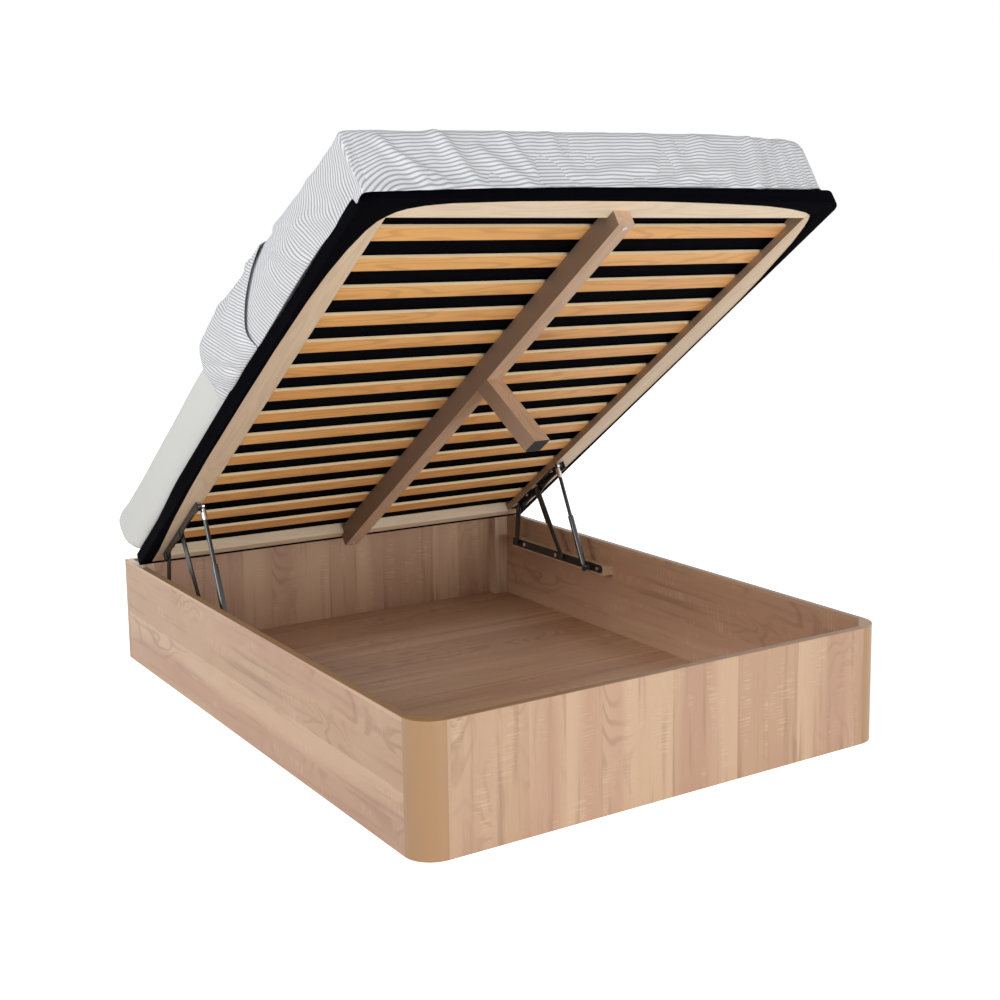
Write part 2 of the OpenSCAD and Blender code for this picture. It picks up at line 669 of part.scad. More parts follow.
// Cover loop from the left head-side hem round the foot to the right hem:
// straight side, corner arc, foot, corner arc, straight side
side_n = 8;
foot_n = 6;
function loop(d, r0) = let(w = mat_half + cover_t + soft_gap - d,
    yf = -mat_end - cover_t - soft_gap + d, r = min(max(r0 - d, 25), w), y0 = -cover_v0)
  concat(
    [for (k = [0:side_n - 1]) [-w, y0 + (yf + r - y0) * k / side_n]],
    [for (k = [0:corner_n]) [-w + r - r * cos(90 * k / corner_n), yf + r - r * sin(90 * k / corner_n)]],
    [for (k = [1:foot_n - 1]) [-(w - r) + 2 * (w - r) * k / foot_n,
      yf - foot_bow * sin(180 * k / foot_n)]],
    [for (k = [corner_n:-1:0]) [w - r + r * cos(90 * k / corner_n), yf + r - r * sin(90 * k / corner_n)]],
    [for (k = [side_n - 1:-1:0]) [w, y0 + (yf + r - y0) * k / side_n]]);
// Share of the folded-back bulge at a distance v from the head edge
function fold_at(v) = v > fold_v ? 0 : v < cover_v0 + fold_round
  ? 0.35 + 0.65 * sin(90 * (v - cover_v0) / fold_round)
  : sin(90 * min(1, (fold_v - v) / fold_slope));
top_z = mat_z + mat_t + soft_gap;
// Outer skin of the cover from the middle of the top to the hem: [inset, height, bulge share]
cover_out = [[610, top_z + cover_t + 4, 1], [400, top_z + cover_t + 5, 1], [160, top_z + cover_t + 3, 1],
  [60, top_z + cover_t - 1, 1], [22, top_z + cover_t - 12, 0.9], [5, top_z - 16, 0.7],
  [0, top_z - 46, 0.5], [2, (top_z + hem_z) / 2, 0.3], [0, hem_z + 22, 0.12], [3, hem_z, 0]];
// Inner skin, row for row: [inset past the cover's thickness, height, 0]
cover_in = [for (p = [[596, top_z + 1], [386, top_z], [146, top_z - 1], [46, top_z - 4],
  [13, top_z - 8], [2, top_z - 20], [0, top_z - 46], [0, (top_z + hem_z) / 2], [0, hem_z + 22],
  [0, hem_z]]) [p[0] + cover_t, p[1], 0]];
function skin(rows, out) = [for (p = rows) each [for (q = loop(p[0], mat_r + cover_t)) let(
    f = fold_at(-q[1]) * p[2] * out, s = abs(q[0]) > mat_half - 60 ? sign(q[0]) : 0)
    [q[0] + s * fold_out * f, q[1], p[1] + fold_h * f]]];
module bed_cover() color(white) on_lid() {
  n = 2 * side_n + 2 * corner_n + foot_n + 1;
  m = len(cover_out);
  k0 = n * m;
  polyhedron(points = concat(skin(cover_out, 1), skin(cover_in, 0)), faces = concat(
    [for (i = [0:m - 2], k = [0:n - 2]) let(a = i * n + k)
      each [[a, a + n, a + 1], [a + 1, a + n, a + n + 1]]],
    [for (i = [0:m - 2], k = [0:n - 2]) let(a = k0 + i * n + k)
      each [[a, a + 1, a + n], [a + 1, a + n + 1, a + n]]],
    [for (i = [0:m - 2], k = [0, n - 1]) let(a = i * n + k, b = k0 + a)
      each k == 0 ? [[a, b, a + n], [a + n, b, b + n]] : [[a, a + n, b], [a + n, b + n, b]]],
    [for (k = [0:n - 2]) let(a = (m - 1) * n + k, b = k0 + a)
      each [[a, b, a + 1], [a + 1, b, b + 1]]],
    [for (k = [0:(n - 3) / 2 - 1]) let(a = n - 1 - k)
      each [[k, k + 1, a], [k + 1, a - 1, a], [k0 + k, k0 + a, k0 + k + 1],
        [k0 + k + 1, k0 + a, k0 + a - 1]]],
    let(k = (n - 3) / 2) [[k, k + 1, k + 2], [k0 + k, k0 + k + 2, k0 + k + 1]],
    [[0, n - 1, k0], [n - 1, k0 + n - 1, k0]]));
}

side_panel_left();
side_panel_right();
foot_panel();
head_panel();
corner_post_left();
corner_post_right();
edge_banding();
corner_block_left();
corner_block_right();
floor_bearers();
floor_panel_head();
floor_panel_foot();
batten_left();
batten_right();
base_bar_left();
base_bar_right();
base_bolts();
base_pivots();
post_dowels();
head_panel_screws();
rear_link_left();
rear_link_right();
front_link_left();
front_link_right();
front_link_rivets();
strut_cylinder_left();
strut_cylinder_right();
strut_rod_left();
strut_rod_right();
strut_pistons();
side_rail_left();
side_rail_right();
foot_rail();
head_rail();
slat(0);  // slat_01
slat(1);  // slat_02
slat(2);  // slat_03
slat(3);  // slat_04
slat(4);  // slat_05
slat(5);  // slat_06
slat(6);  // slat_07
slat(7);  // slat_08
slat(8);  // slat_09
slat(9);  // slat_10
slat(10);  // slat_11
slat(11);  // slat_12
slat(12);  // slat_13
slat(13);  // slat_14
centre_beam();
centre_leg();
leg_pad();
beam_screws();
lid_bracket_left();
lid_bracket_right();
bracket_bolts();
bracket_pivots();
lid_cover();
mattress();
bed_cover();
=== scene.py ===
# %% [markdown]
# # A lift-up platform bed
#
# The frame holds the exact timber, steel and board pieces of the bed, with the lid open.
# This script adds what a solid model can't show: grain, paint and cloth, and the padded
# mattress and cover. Everything is in metres, +Z up, -Y toward the foot end. The solids
# are loaded first, so that all that follows is made around them and can be measured.

import math

import bpy
import numpy as np
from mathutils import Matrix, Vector, noise


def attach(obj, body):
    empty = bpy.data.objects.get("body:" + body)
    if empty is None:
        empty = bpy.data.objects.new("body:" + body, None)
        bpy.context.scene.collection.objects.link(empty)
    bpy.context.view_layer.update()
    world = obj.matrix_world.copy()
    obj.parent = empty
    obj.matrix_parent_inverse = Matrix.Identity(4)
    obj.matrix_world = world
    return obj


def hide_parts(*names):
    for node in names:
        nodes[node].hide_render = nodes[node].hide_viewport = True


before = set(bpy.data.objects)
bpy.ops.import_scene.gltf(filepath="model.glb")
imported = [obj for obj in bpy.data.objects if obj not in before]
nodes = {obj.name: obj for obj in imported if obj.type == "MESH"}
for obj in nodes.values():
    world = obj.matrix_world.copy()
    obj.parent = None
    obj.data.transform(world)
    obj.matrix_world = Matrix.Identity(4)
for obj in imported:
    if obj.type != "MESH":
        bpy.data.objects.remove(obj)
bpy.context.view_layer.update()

# %% [markdown]
# ## Shared numbers
#
# The lid leans back 34 degrees. Its parts are easiest to describe lying flat, so every
# soft piece is written as (x, v, z): x across, v the distance from the head edge toward
# the foot, and z the height over the underside of the rails. `on_lid` turns that flat
# place into the open pose, as the solid model does.

# %% The lid's own coordinates
LID_TILT = math.radians(34)
LID_Y = 0.819  # the head edge of the lid
LID_Z = 0.316  # its height there, at the rails' underside


def on_lid(flat):
    """Points (x, v, z) on the flat lid, as points in the open pose."""
    x, v, z = np.asarray(flat, float).T
    c, s = math.cos(LID_TILT), math.sin(LID_TILT)
    return np.stack([x, LID_Y - v * c + z * s, LID_Z + v * s + z * c], axis=1)


def smooth(t):
    """0 below 0, 1 above 1, and a soft step between."""
    t = np.clip(t, 0, 1)
    return t * t * (3 - 2 * t)


def between(x, xs, ys):
    """A value read off a table of places and values, straight between them."""
    return np.interp(x, xs, ys)


print("head edge of the lid, open:", on_lid([(0, 0, 0)])[0])


# %% [markdown]
# ## Camera
#
# The photograph was taken from the left of the foot end, a little above the lid's middle.
# The place, turn and focal length come from fitting known corners of the box and the lid.
# The frame was cropped after the shot, so the lens is shifted a little.

# %% Camera
CAMERA_AT = (-2.05752, -3.607374, 1.341148)
CAMERA_YAW = 35.971
CAMERA_DOWN = 8.718
FOCAL_MM = 53.893
SENSOR_MM = 36
SHIFT = (-0.1316, -0.0506)

camera_data = bpy.data.cameras.new("camera")
camera_data.lens = FOCAL_MM
camera_data.sensor_width = SENSOR_MM
camera_data.shift_x, camera_data.shift_y = SHIFT
camera = bpy.data.objects.new("camera", camera_data)
camera.location = CAMERA_AT
camera.rotation_euler = (math.radians(90 - CAMERA_DOWN), 0, -math.radians(CAMERA_YAW))
bpy.context.scene.collection.objects.link(camera)
bpy.context.scene.camera = camera
bpy.context.scene.view_settings.view_transform = "Standard"
print(f"camera: {FOCAL_MM} mm lens, {Vector(CAMERA_AT).length:.2f} m from the bed")

# %% [markdown]
# ## Floor and light
#
# A catalogue picture: white all round. One broad lamp stands on the left of the camera and
# a weaker one on the right. A low one, far in front, reaches up under the lid and into the
# box, and one behind lights the mattress for views from the head. Square area lamps are
# used because their shadows have soft edges, as in a room with large windows.

# %% Floor and lamps
FLOOR_SIZE = 60


def mesh_object(name, points, faces):
    """A new object with a mesh of these points and faces."""
    mesh = bpy.data.meshes.new(name)
    mesh.from_pydata([tuple(p) for p in points], [], [tuple(f) for f in faces])
    mesh.validate()
    made = bpy.data.objects.new(name, mesh)
    bpy.context.scene.collection.objects.link(made)
    return made


def lamp(name, at, target, size, power):
    """A white square lamp of size metres and power watts that points at the target."""
    data = bpy.data.lights.new(name, "AREA")
    data.shape, data.size, data.energy = "SQUARE", size, power
    made = bpy.data.objects.new(name, data)
    made.location = at
    made.rotation_euler = (Vector(target) - Vector(at)).to_track_quat("-Z", "Y").to_euler()
    bpy.context.scene.collection.objects.link(made)


half = FLOOR_SIZE / 2
corners = [(-half, -half, 0), (half, -half, 0), (half, half, 0), (-half, half, 0)]
floor = mesh_object("floor", corners, [(0, 1, 2, 3)])

lamp("key", (-5.4, -0.6, 3.0), (0, 0, 0.7), 3.0, 168)
lamp("fill", (2.6, -5.6, 2.0), (0.2, 0, 0.5), 3.0, 45)
lamp("under_lid", (0.2, -8.0, 0.45), (0, 0, 0.8), 2.0, 350)
lamp("back", (1.6, 5.6, 3.2), (0, 0.3, 0.7), 3.0, 110)
print("lamps:", [f"{light.name} {light.energy:.0f} W" for light in bpy.data.lights])

# %% [markdown]
# ## White surroundings
#
# The world has two strengths. The bed is lit by a weak one, so that its colours stay as
# they are written. The camera sees full white, and so do the mirror rays of metal and
# glossy paint. Light Path tells these rays apart, and a Mix Shader picks the strength.

# %% World
SKY = 0.3  # strength that lights the bed

world = bpy.data.worlds.new("studio")
world.use_nodes = True
bpy.context.scene.world = world
sky = world.node_tree.nodes["Background"]
seen = world.node_tree.nodes.new("ShaderNodeBackground")
sky.inputs["Color"].default_value = (1, 1, 1, 1)
sky.inputs["Strength"].default_value = SKY
seen.inputs["Color"].default_value = (1, 1, 1, 1)
ray = world.node_tree.nodes.new("ShaderNodeLightPath")
either = world.node_tree.nodes.new("ShaderNodeMixShader")
join = world.node_tree.links.new
looks = [world.node_tree.nodes.new("ShaderNodeMath") for _ in range(2)]
for adder in looks:
    adder.operation, adder.use_clamp = "ADD", True
join(ray.outputs["Is Camera Ray"], looks[0].inputs[0])
join(ray.outputs["Is Glossy Ray"], looks[0].inputs[1])
join(looks[0].outputs[0], looks[1].inputs[0])
join(ray.outputs["Is Transmission Ray"], looks[1].inputs[1])
join(looks[1].outputs[0], either.inputs[0])
join(sky.outputs[0], either.inputs[1])
join(seen.outputs[0], either.inputs[2])
join(either.outputs[0], world.node_tree.nodes["World Output"].inputs["Surface"])
print("world: lights with", SKY, "and shows white")

# %% [markdown]
# ## A short way to write node trees
#
# `Tree` wraps a node tree. Each call adds one node and gives back its output socket, so a
# material reads like a formula. Numbers go into sockets, and sockets are linked. Nodes could
# be placed by hand in the editor, but in code one helper serves all the woods and cloths.


# %% Tree
class Tree:
    """Adds nodes to one node tree."""

    def __init__(self, tree):
        self.tree = tree

    def put(self, socket, value):
        """Links a socket, or sets a number or a colour."""
        if isinstance(value, bpy.types.NodeSocket):
            self.tree.links.new(value, socket)
        elif hasattr(socket.default_value, "__len__") and len(socket.default_value) == 4:
            socket.default_value = (*value, 1) if len(value) == 3 else value
        else:
            socket.default_value = value

    def node(self, kind, inputs=(), **settings):
        made = self.tree.nodes.new(kind)
        for name, value in settings.items():
            setattr(made, name, value)
        for name, value in dict(inputs).items():
            self.put(made.inputs[name], value)
        return made

    def maths(self, how, a, b=0.0, c=0.0, clamp=False):
        made = self.node("ShaderNodeMath", operation=how, use_clamp=clamp)
        for socket, value in zip(made.inputs, (a, b, c)):
            self.put(socket, value)
        return made.outputs[0]

    def faded(self, mask, amount):
        """A mask, weakened to an amount."""
        return self.maths("MULTIPLY", mask, amount)

    def mix(self, share, a, b):
        made = self.node("ShaderNodeMix", data_type="RGBA")
        self.put(made.inputs[0], share)
        self.put(made.inputs[6], a)
        self.put(made.inputs[7], b)
        return made.outputs[2]

    def noise(self, vector, scale=1.0, detail=2.0, rough=0.5, bend=0.0):
        settings = {"Scale": scale, "Detail": detail, "Roughness": rough, "Distortion": bend}
        return self.node("ShaderNodeTexNoise", {"Vector": vector, **settings}).outputs[0]

    def stretch(self, vector, factors):
        return self.node("ShaderNodeMapping", {"Vector": vector, "Scale": factors}).outputs[0]

    def step(self, value, low, high):
        """0 under low, 1 over high, soft between."""
        return self.node(
            "ShaderNodeMapRange",
            {"Value": value, "From Min": low, "From Max": high},
            interpolation_type="SMOOTHSTEP",
        ).outputs[0]

    def parts(self, vector):
        return self.node("ShaderNodeSeparateXYZ", {"Vector": vector}).outputs

    def whole(self, x, y, z):
        return self.node("ShaderNodeCombineXYZ", {"X": x, "Y": y, "Z": z}).outputs[0]


print("a tree can:", [word for word in vars(Tree) if not word.startswith("_")])


# %% Node groups
KINDS = {"v": "NodeSocketVector", "f": "NodeSocketFloat"}


def group(name, inputs, outputs):
    """An empty node group with named sockets: (its tree, its inputs, its outputs)."""
    tree = bpy.data.node_groups.new(name, "ShaderNodeTree")
    for socket, kind, *start in inputs:
        made = tree.interface.new_socket(name=socket, in_out="INPUT", socket_type=KINDS[kind])
        if start:
            made.default_value = start[0]
    for socket, kind in outputs:
        tree.interface.new_socket(name=socket, in_out="OUTPUT", socket_type=KINDS[kind])
    t = Tree(tree)
    return t, t.node("NodeGroupInput").outputs, t.node("NodeGroupOutput").inputs


print("kinds of sockets:", KINDS)


# %% [markdown]
# ## Wood-look board
#
# The box is clad in a printed oak pattern. It is made of narrow strips, each in its own
# tone, with long streaks, arched growth lines, fine pores and patches of short cross marks
# that a saw would leave. A photo of oak would do for one view, but noise that is stretched
# along the grain has no seams and no end. The group expects x along the grain, y across it.

# %% Board grain: strips and streaks
t, given, out = group(
    "board_grain",
    [("Vector", "v"), ("Strip width", "f", 0.1)],
    [("Tone", "f"), ("Streak", "f"), ("Arch", "f"), ("Pore", "f"), ("Saw", "f"), ("Height", "f")],
)
along, across, _ = t.parts(given["Vector"])
wander = t.noise(t.stretch(given["Vector"], (0.9, 2.0, 0)), 1, 1)
edge = t.maths("ADD", across, t.maths("MULTIPLY", wander, 0.02))
strip = t.maths("FLOOR", t.maths("DIVIDE", edge, given["Strip width"]))
tone = t.node("ShaderNodeTexWhiteNoise", {"W": strip}, noise_dimensions="1D").outputs[0]
own = t.whole(t.maths("ADD", along, t.maths("MULTIPLY", strip, 3.7)), across, 0.0)
long_noise = t.noise(t.stretch(own, (1.6, 34, 1)), 1, 4, 0.6)
broad = t.noise(t.stretch(own, (1.1, 11, 1)), 1, 2)
streak = t.step(long_noise, 0.5, 0.72)
print("strips and streaks:", len(t.tree.nodes), "nodes so far")

# %% Board grain: growth lines, pores and saw marks
# Arched growth lines: rings around a wandering heart, seen where the strip is cut flat.
bow = t.noise(t.stretch(own, (2.4, 5.5, 1)), 1, 2, 0.45, 0.4)
rings = t.maths("SINE", t.maths("MULTIPLY", bow, 95.0))
flat_cut = t.step(t.noise(t.stretch(own, (1.2, 4.0, 1)), 1, 1), 0.52, 0.66)
arch = t.maths("MULTIPLY", t.step(rings, 0.1, 1.0), flat_cut)
pore = t.step(t.noise(t.stretch(own, (38, 900, 1)), 1, 2), 0.55, 0.75)
saw_line = t.noise(t.stretch(own, (260, 16, 1)), 1, 1)
saw_here = t.step(t.noise(t.stretch(own, (5, 17, 1)), 1, 1), 0.53, 0.66)
saw = t.maths("MULTIPLY", t.step(saw_line, 0.5, 0.68), saw_here)
t.put(out["Tone"], t.maths("ADD", t.maths("MULTIPLY", tone, 0.6), t.maths("MULTIPLY", broad, 0.4)))
t.put(out["Streak"], streak)
t.put(out["Arch"], arch)
t.put(out["Pore"], pore)
t.put(out["Saw"], saw)
low = t.maths("ADD", t.maths("MULTIPLY", pore, 0.5), t.maths("MULTIPLY", arch, 0.3))
t.put(out["Height"], t.maths("SUBTRACT", 1.0, t.maths("ADD", low, t.maths("MULTIPLY", saw, 0.4))))
print("board_grain:", len(t.tree.nodes), "nodes")

# %% [markdown]
# ## Planed timber
#
# Rails, slats, the beam and its leg are planed softwood and beech: long fine lines, slow
# changes of tone, now and then a small knot. The lines are a sine of stretched noise, which
# gives wandering growth rings. Again x runs along the grain.

# %% Planed grain
t, given, out = group(
    "planed_grain",
    [("Vector", "v"), ("Line scale", "f", 1.0)],
    [("Tone", "f"), ("Line", "f"), ("Fleck", "f"), ("Knot", "f"), ("Height", "f")],
)
stretched = t.stretch(given["Vector"], (0.8, 9, 9))
slow = t.noise(stretched, 1, 2, 0.5, 0.3)
bent = t.noise(t.stretch(given["Vector"], (1.3, 10, 10)), 1, 2, 0.5)
wave = t.maths("SINE", t.maths("MULTIPLY", bent, t.maths("MULTIPLY", given["Line scale"], 80.0)))
line = t.step(wave, 0.0, 1.0)
fleck = t.step(t.noise(t.stretch(given["Vector"], (30, 500, 500)), 1, 2), 0.52, 0.75)
knot_places = t.stretch(given["Vector"], (1.7, 6, 6))
knots = t.node("ShaderNodeTexVoronoi", {"Vector": knot_places, "Scale": 1.0})
knot = t.maths("SUBTRACT", 1.0, t.step(knots.outputs["Distance"], 0.05, 0.16))
t.put(out["Tone"], slow)
t.put(out["Line"], line)
t.put(out["Fleck"], fleck)
t.put(out["Knot"], knot)
t.put(out["Height"], t.maths("SUBTRACT", 1.0, t.maths("MULTIPLY", fleck, 0.5)))
print("planed_grain:", len(t.tree.nodes), "nodes")

# %% [markdown]
# ## Weave, stripes and dust
#
# Cloth needs a weave that doesn't swim when the piece is moved, so it is made from the
# piece's own coordinates. The stripes follow a run length that is stored in the cloth's
# UV map: how far each point is along the cloth.

# %% Weave
t, given, out = group(
    "weave", [("Vector", "v"), ("Threads per metre", "f", 900.0)], [("Thread", "f"), ("Slub", "f")]
)
x, y, _ = t.parts(given["Vector"])
turn = t.maths("MULTIPLY", given["Threads per metre"], 2 * math.pi)
warp = t.maths("SINE", t.maths("MULTIPLY", x, turn))
weft = t.maths("SINE", t.maths("MULTIPLY", y, turn))
t.put(out["Thread"], t.maths("MULTIPLY_ADD", t.maths("MULTIPLY", warp, weft), 0.5, 0.5))
t.put(out["Slub"], t.noise(t.stretch(given["Vector"], (60, 900, 60)), 1, 2))
print("weave:", len(t.tree.nodes), "nodes")

# %% Stripes
STRIPE_PERIOD = 0.0115  # from one stripe to the next
STRIPE_SHARE = 0.30  # of that, the part that is grey
STRIPE_SOFT = 0.10

t, given, out = group(
    "stripes",
    [("Run", "f"), ("Across", "f"), ("Period", "f", STRIPE_PERIOD), ("Share", "f", STRIPE_SHARE)],
    [("Stripe", "f")],
)
place = t.whole(t.maths("MULTIPLY", given["Across"], 9.0), t.maths("MULTIPLY", given["Run"], 9.0), 0.0)
wobble = t.noise(place, 1, 2)
run = t.maths("ADD", given["Run"], t.maths("MULTIPLY", wobble, 0.004))
phase = t.maths("FRACT", t.maths("DIVIDE", run, given["Period"]))
away = t.maths("ABSOLUTE", t.maths("SUBTRACT", phase, 0.5))
half_share = t.maths("MULTIPLY", given["Share"], 0.5)
past = t.maths("DIVIDE", t.maths("SUBTRACT", away, half_share), STRIPE_SOFT)
t.put(out["Stripe"], t.maths("SUBTRACT", 1.0, past, clamp=True))
print("stripes:", STRIPE_PERIOD * 1000, "mm apart")

# %% [markdown]
# ## Handling
#
# Hands leave broad smudges on a smooth surface, and dust lies in fine specks. Both are
# masks from noise, at two sizes, that every board and metal mixes in by its own share.

# %% Smudges and dust
t, given, out = group("handling", [("Vector", "v")], [("Smudge", "f"), ("Dust", "f")])
t.put(out["Smudge"], t.step(t.noise(given["Vector"], 7, 3, 0.6), 0.45, 0.8))
t.put(out["Dust"], t.step(t.noise(given["Vector"], 420, 2), 0.62, 0.8))
print("node groups:", [g.name for g in bpy.data.node_groups])

# %% [markdown]
# ## Materials
#
# `material` starts a Principled material and gives back its tree, the shader and the piece's
# own coordinates. Lid parts lie at a slant, so their coordinates are turned back flat first.
# A rounded-edge normal stands in for the eased edges that boards and timber have.


# %% Material helpers
def material(name, rough, metal=0.0):
    """A new material: (it, its tree, its shader, the piece's own coordinates)."""
    made = bpy.data.materials.new(name)
    made.use_nodes = True
    t = Tree(made.node_tree)
    bsdf = made.node_tree.nodes["Principled BSDF"]
    bsdf.inputs["Roughness"].default_value = rough
    bsdf.inputs["Metallic"].default_value = metal
    where = t.node("ShaderNodeTexCoord").outputs["Object"]
    return made, t, bsdf, where


def use(t, name, inputs):
    """A node group placed in a material: its outputs."""
    made = t.node("ShaderNodeGroup", node_tree=bpy.data.node_groups[name])
    for socket, value in inputs.items():
        t.put(made.inputs[socket], value)
    return made.outputs


def bump(t, bsdf, height, strength, distance):
    made = t.node("ShaderNodeBump", {"Height": height, "Strength": strength, "Distance": distance})
    t.put(bsdf.inputs["Normal"], made.outputs[0])
    return made


def eased(t, bump_node, radius):
    """Lets light catch an edge as if it were rounded to a radius."""
    rounded = t.node("ShaderNodeBevel", {"Radius": radius}, samples=4)
    t.put(bump_node.inputs["Normal"], rounded.outputs[0])


def flat_lid(t, where):
    """The piece's coordinates, turned so that the open lid lies flat."""
    return t.node("ShaderNodeMapping", {"Vector": where, "Rotation": (LID_TILT, 0, 0)}).outputs[0]


def order(t, where, axes):
    """The coordinates in another order, so that the first one runs along the grain."""
    x = dict(zip("xyz", t.parts(where)))
    return t.whole(*(x[a] for a in axes))


print("lid pieces are turned back by", round(math.degrees(LID_TILT)), "degrees")

# %% [markdown]
# ## Board
#
# The printed board is laid in layers of colour, as a printer would: a light and a middle
# tone by strip, a pinkish cast in places, dark streaks and growth lines, and pale saw marks.
# One recipe serves three directions of grain, since long sides, ends and floor differ in it.

# %% Board materials
OAK_LIGHT = (0.60, 0.405, 0.265)
OAK_MID = (0.50, 0.315, 0.20)
OAK_PINK = (0.47, 0.275, 0.185)
OAK_DARK = (0.27, 0.155, 0.092)
OAK_PALE = (0.72, 0.53, 0.37)


def board(name, axes, strip_width):
    """Printed board; axes give the grain direction first."""
    made, t, bsdf, where = material(name, 0.52)
    grain = use(t, "board_grain", {"Vector": order(t, where, axes), "Strip width": strip_width})
    colour = t.mix(t.step(grain["Tone"], 0.2, 0.75), OAK_LIGHT, OAK_MID)
    pink = t.step(t.noise(t.stretch(order(t, where, axes), (0.7, 7, 1)), 1, 1), 0.45, 0.62)
    layers = (
        (pink, 0.75, OAK_PINK),
        (grain["Streak"], 0.55, OAK_DARK),
        (grain["Arch"], 0.42, OAK_DARK),
        (grain["Saw"], 0.38, OAK_PALE),
        (grain["Pore"], 0.22, OAK_DARK),
    )
    for mask, amount, tint in layers:
        colour = t.mix(t.faded(mask, amount), colour, tint)
    t.put(bsdf.inputs["Base Color"], colour)
    smudge = use(t, "handling", {"Vector": where})["Smudge"]
    t.put(bsdf.inputs["Roughness"], t.maths("MULTIPLY_ADD", smudge, 0.1, 0.47))
    eased(t, bump(t, bsdf, grain["Height"], 0.35, 0.0006), 0.0012)
    return made


board_long = board("board_long", "yzx", 0.078)
board_upright = board("board_upright", "zxy", 0.098)
board_floor = board("board_floor", "xyz", 0.12)
print("board materials:", len(board_long.node_tree.nodes), "nodes each")

# %% [markdown]
# ## Posts and edge strip
#
# The round foot posts and the strip on the rim are wrapped in plain tan foil, with the
# faintest print of grain. The posts have a thin gloss over it, which a coat gives.


# %% Tan foil
def plain_tan(name, colour, rough, coat=0.0):
    made, t, bsdf, where = material(name, rough)
    grain = use(t, "planed_grain", {"Vector": order(t, where, "zxy"), "Line scale": 0.6})
    darker = tuple(c * 0.86 for c in colour)
    shade = t.mix(t.faded(grain["Tone"], 0.35), colour, darker)
    t.put(bsdf.inputs["Base Color"], t.mix(t.faded(grain["Fleck"], 0.12), shade, darker))
    bsdf.inputs["Coat Weight"].default_value = coat
    bsdf.inputs["Coat Roughness"].default_value = 0.3
    eased(t, bump(t, bsdf, grain["Height"], 0.15, 0.0003), 0.0012)
    return made


post_tan = plain_tan("post_tan", (0.41, 0.235, 0.114), 0.42, 0.12)
edge_tan = plain_tan("edge_tan", (0.36, 0.21, 0.115), 0.45)
print("tan foil:", post_tan.name, edge_tan.name)

# %% [markdown]
# ## Timber
#
# Each timber has its light and dark tone and its own direction of grain. The slats are
# orange beech, with a painted highlight on their edges that look along the lid. Rails, beam
# and leg have painted shade on the faces that look sideways. Those faces are found by the
# piece's own normal, turned flat, so one material does for all faces and no face has to be
# picked by hand.


# %% Timber recipe
def timber(name, axes, light, dark, lid=True, line=0.35, edge=None, sides=None):
    """Planed wood. edge is the colour of a painted highlight on the faces that look along,
    sides that of painted shade on the faces that look across.
    """
    made, t, bsdf, where = material(name, 0.5)
    where = order(t, flat_lid(t, where) if lid else where, axes)
    facing = t.parts(flat_lid(t, t.node("ShaderNodeTexCoord").outputs["Normal"]))
    grain = use(t, "planed_grain", {"Vector": where, "Line scale": 1.0})
    colour = t.mix(t.step(grain["Tone"], 0.3, 0.7), light, dark)
    low, knot_tone = tuple(c * 0.62 for c in dark), tuple(c * 0.5 for c in dark)
    layers = ((grain["Line"], line, low), (grain["Fleck"], 0.16, low), (grain["Knot"], 0.55, knot_tone))
    for mask, amount, tint in layers:
        colour = t.mix(t.faded(mask, amount), colour, tint)
    # Painted highlight: the faces that look along the lid are made paler.
    if edge:
        colour = t.mix(t.step(t.maths("ABSOLUTE", facing["Y"]), 0.6, 0.8), colour, edge)
    # Painted shade: the faces that look sideways are made darker.
    if sides:
        colour = t.mix(t.step(t.maths("ABSOLUTE", facing["X"]), 0.6, 0.8), colour, sides)
    t.put(bsdf.inputs["Base Color"], colour)
    eased(t, bump(t, bsdf, grain["Height"], 0.3, 0.0005), 0.0018)
    return made


print("a timber is layered from light, dark, lines, flecks and knots")

# %% The timbers
# The slats' edge colour is a painted highlight on their edges.
slat_wood = timber(
    "slat_wood", "xyz", (0.92, 0.50, 0.18), (0.80, 0.385, 0.12), edge=(0.95, 0.74, 0.46)
)
# The sides colour of the rails is painted shade on their sideways faces.
rail_wood = timber(
    "rail_wood", "yxz", (0.80, 0.63, 0.45), (0.70, 0.52, 0.355), line=0.16, sides=(0.42, 0.29, 0.195)
)
# The head and foot rails get a lighter copy of the rail wood: painted light, where the foot rail is lit
# full on.
rail_cross_wood = timber(
    "rail_cross_wood", "xyz", (0.90, 0.74, 0.54), (0.82, 0.64, 0.445), line=0.16
)
# The sides colours of the beam and the leg are painted shade on their sideways faces.
beam_wood = timber(
    "beam_wood", "yxz", (0.66, 0.46, 0.315), (0.56, 0.365, 0.24), line=0.2, sides=(0.27, 0.175, 0.12)
)
leg_wood = timber(
    "leg_wood", "zxy", (0.62, 0.42, 0.285), (0.5, 0.32, 0.205), line=0.25, sides=(0.33, 0.21, 0.14)
)
batten_wood = timber("batten_wood", "yxz", (0.66, 0.48, 0.33), (0.56, 0.39, 0.26), lid=False)
upright_wood = timber("upright_wood", "zxy", (0.7, 0.53, 0.38), (0.6, 0.43, 0.3), lid=False)
print("timbers:", [m.name for m in bpy.data.materials if m.name.endswith("_wood")])

# %% [markdown]
# ## Metal, rubber and paint
#
# The lift fittings are steel with a thin black coat, the bolts are zinc plated, and the
# struts are glossy black tubes. Real paint is never even: smudges change its gloss and
# dust greys it a little, so both masks are mixed into every recipe.

# %% Metal recipe
DUST_GREY = (0.4, 0.4, 0.4)


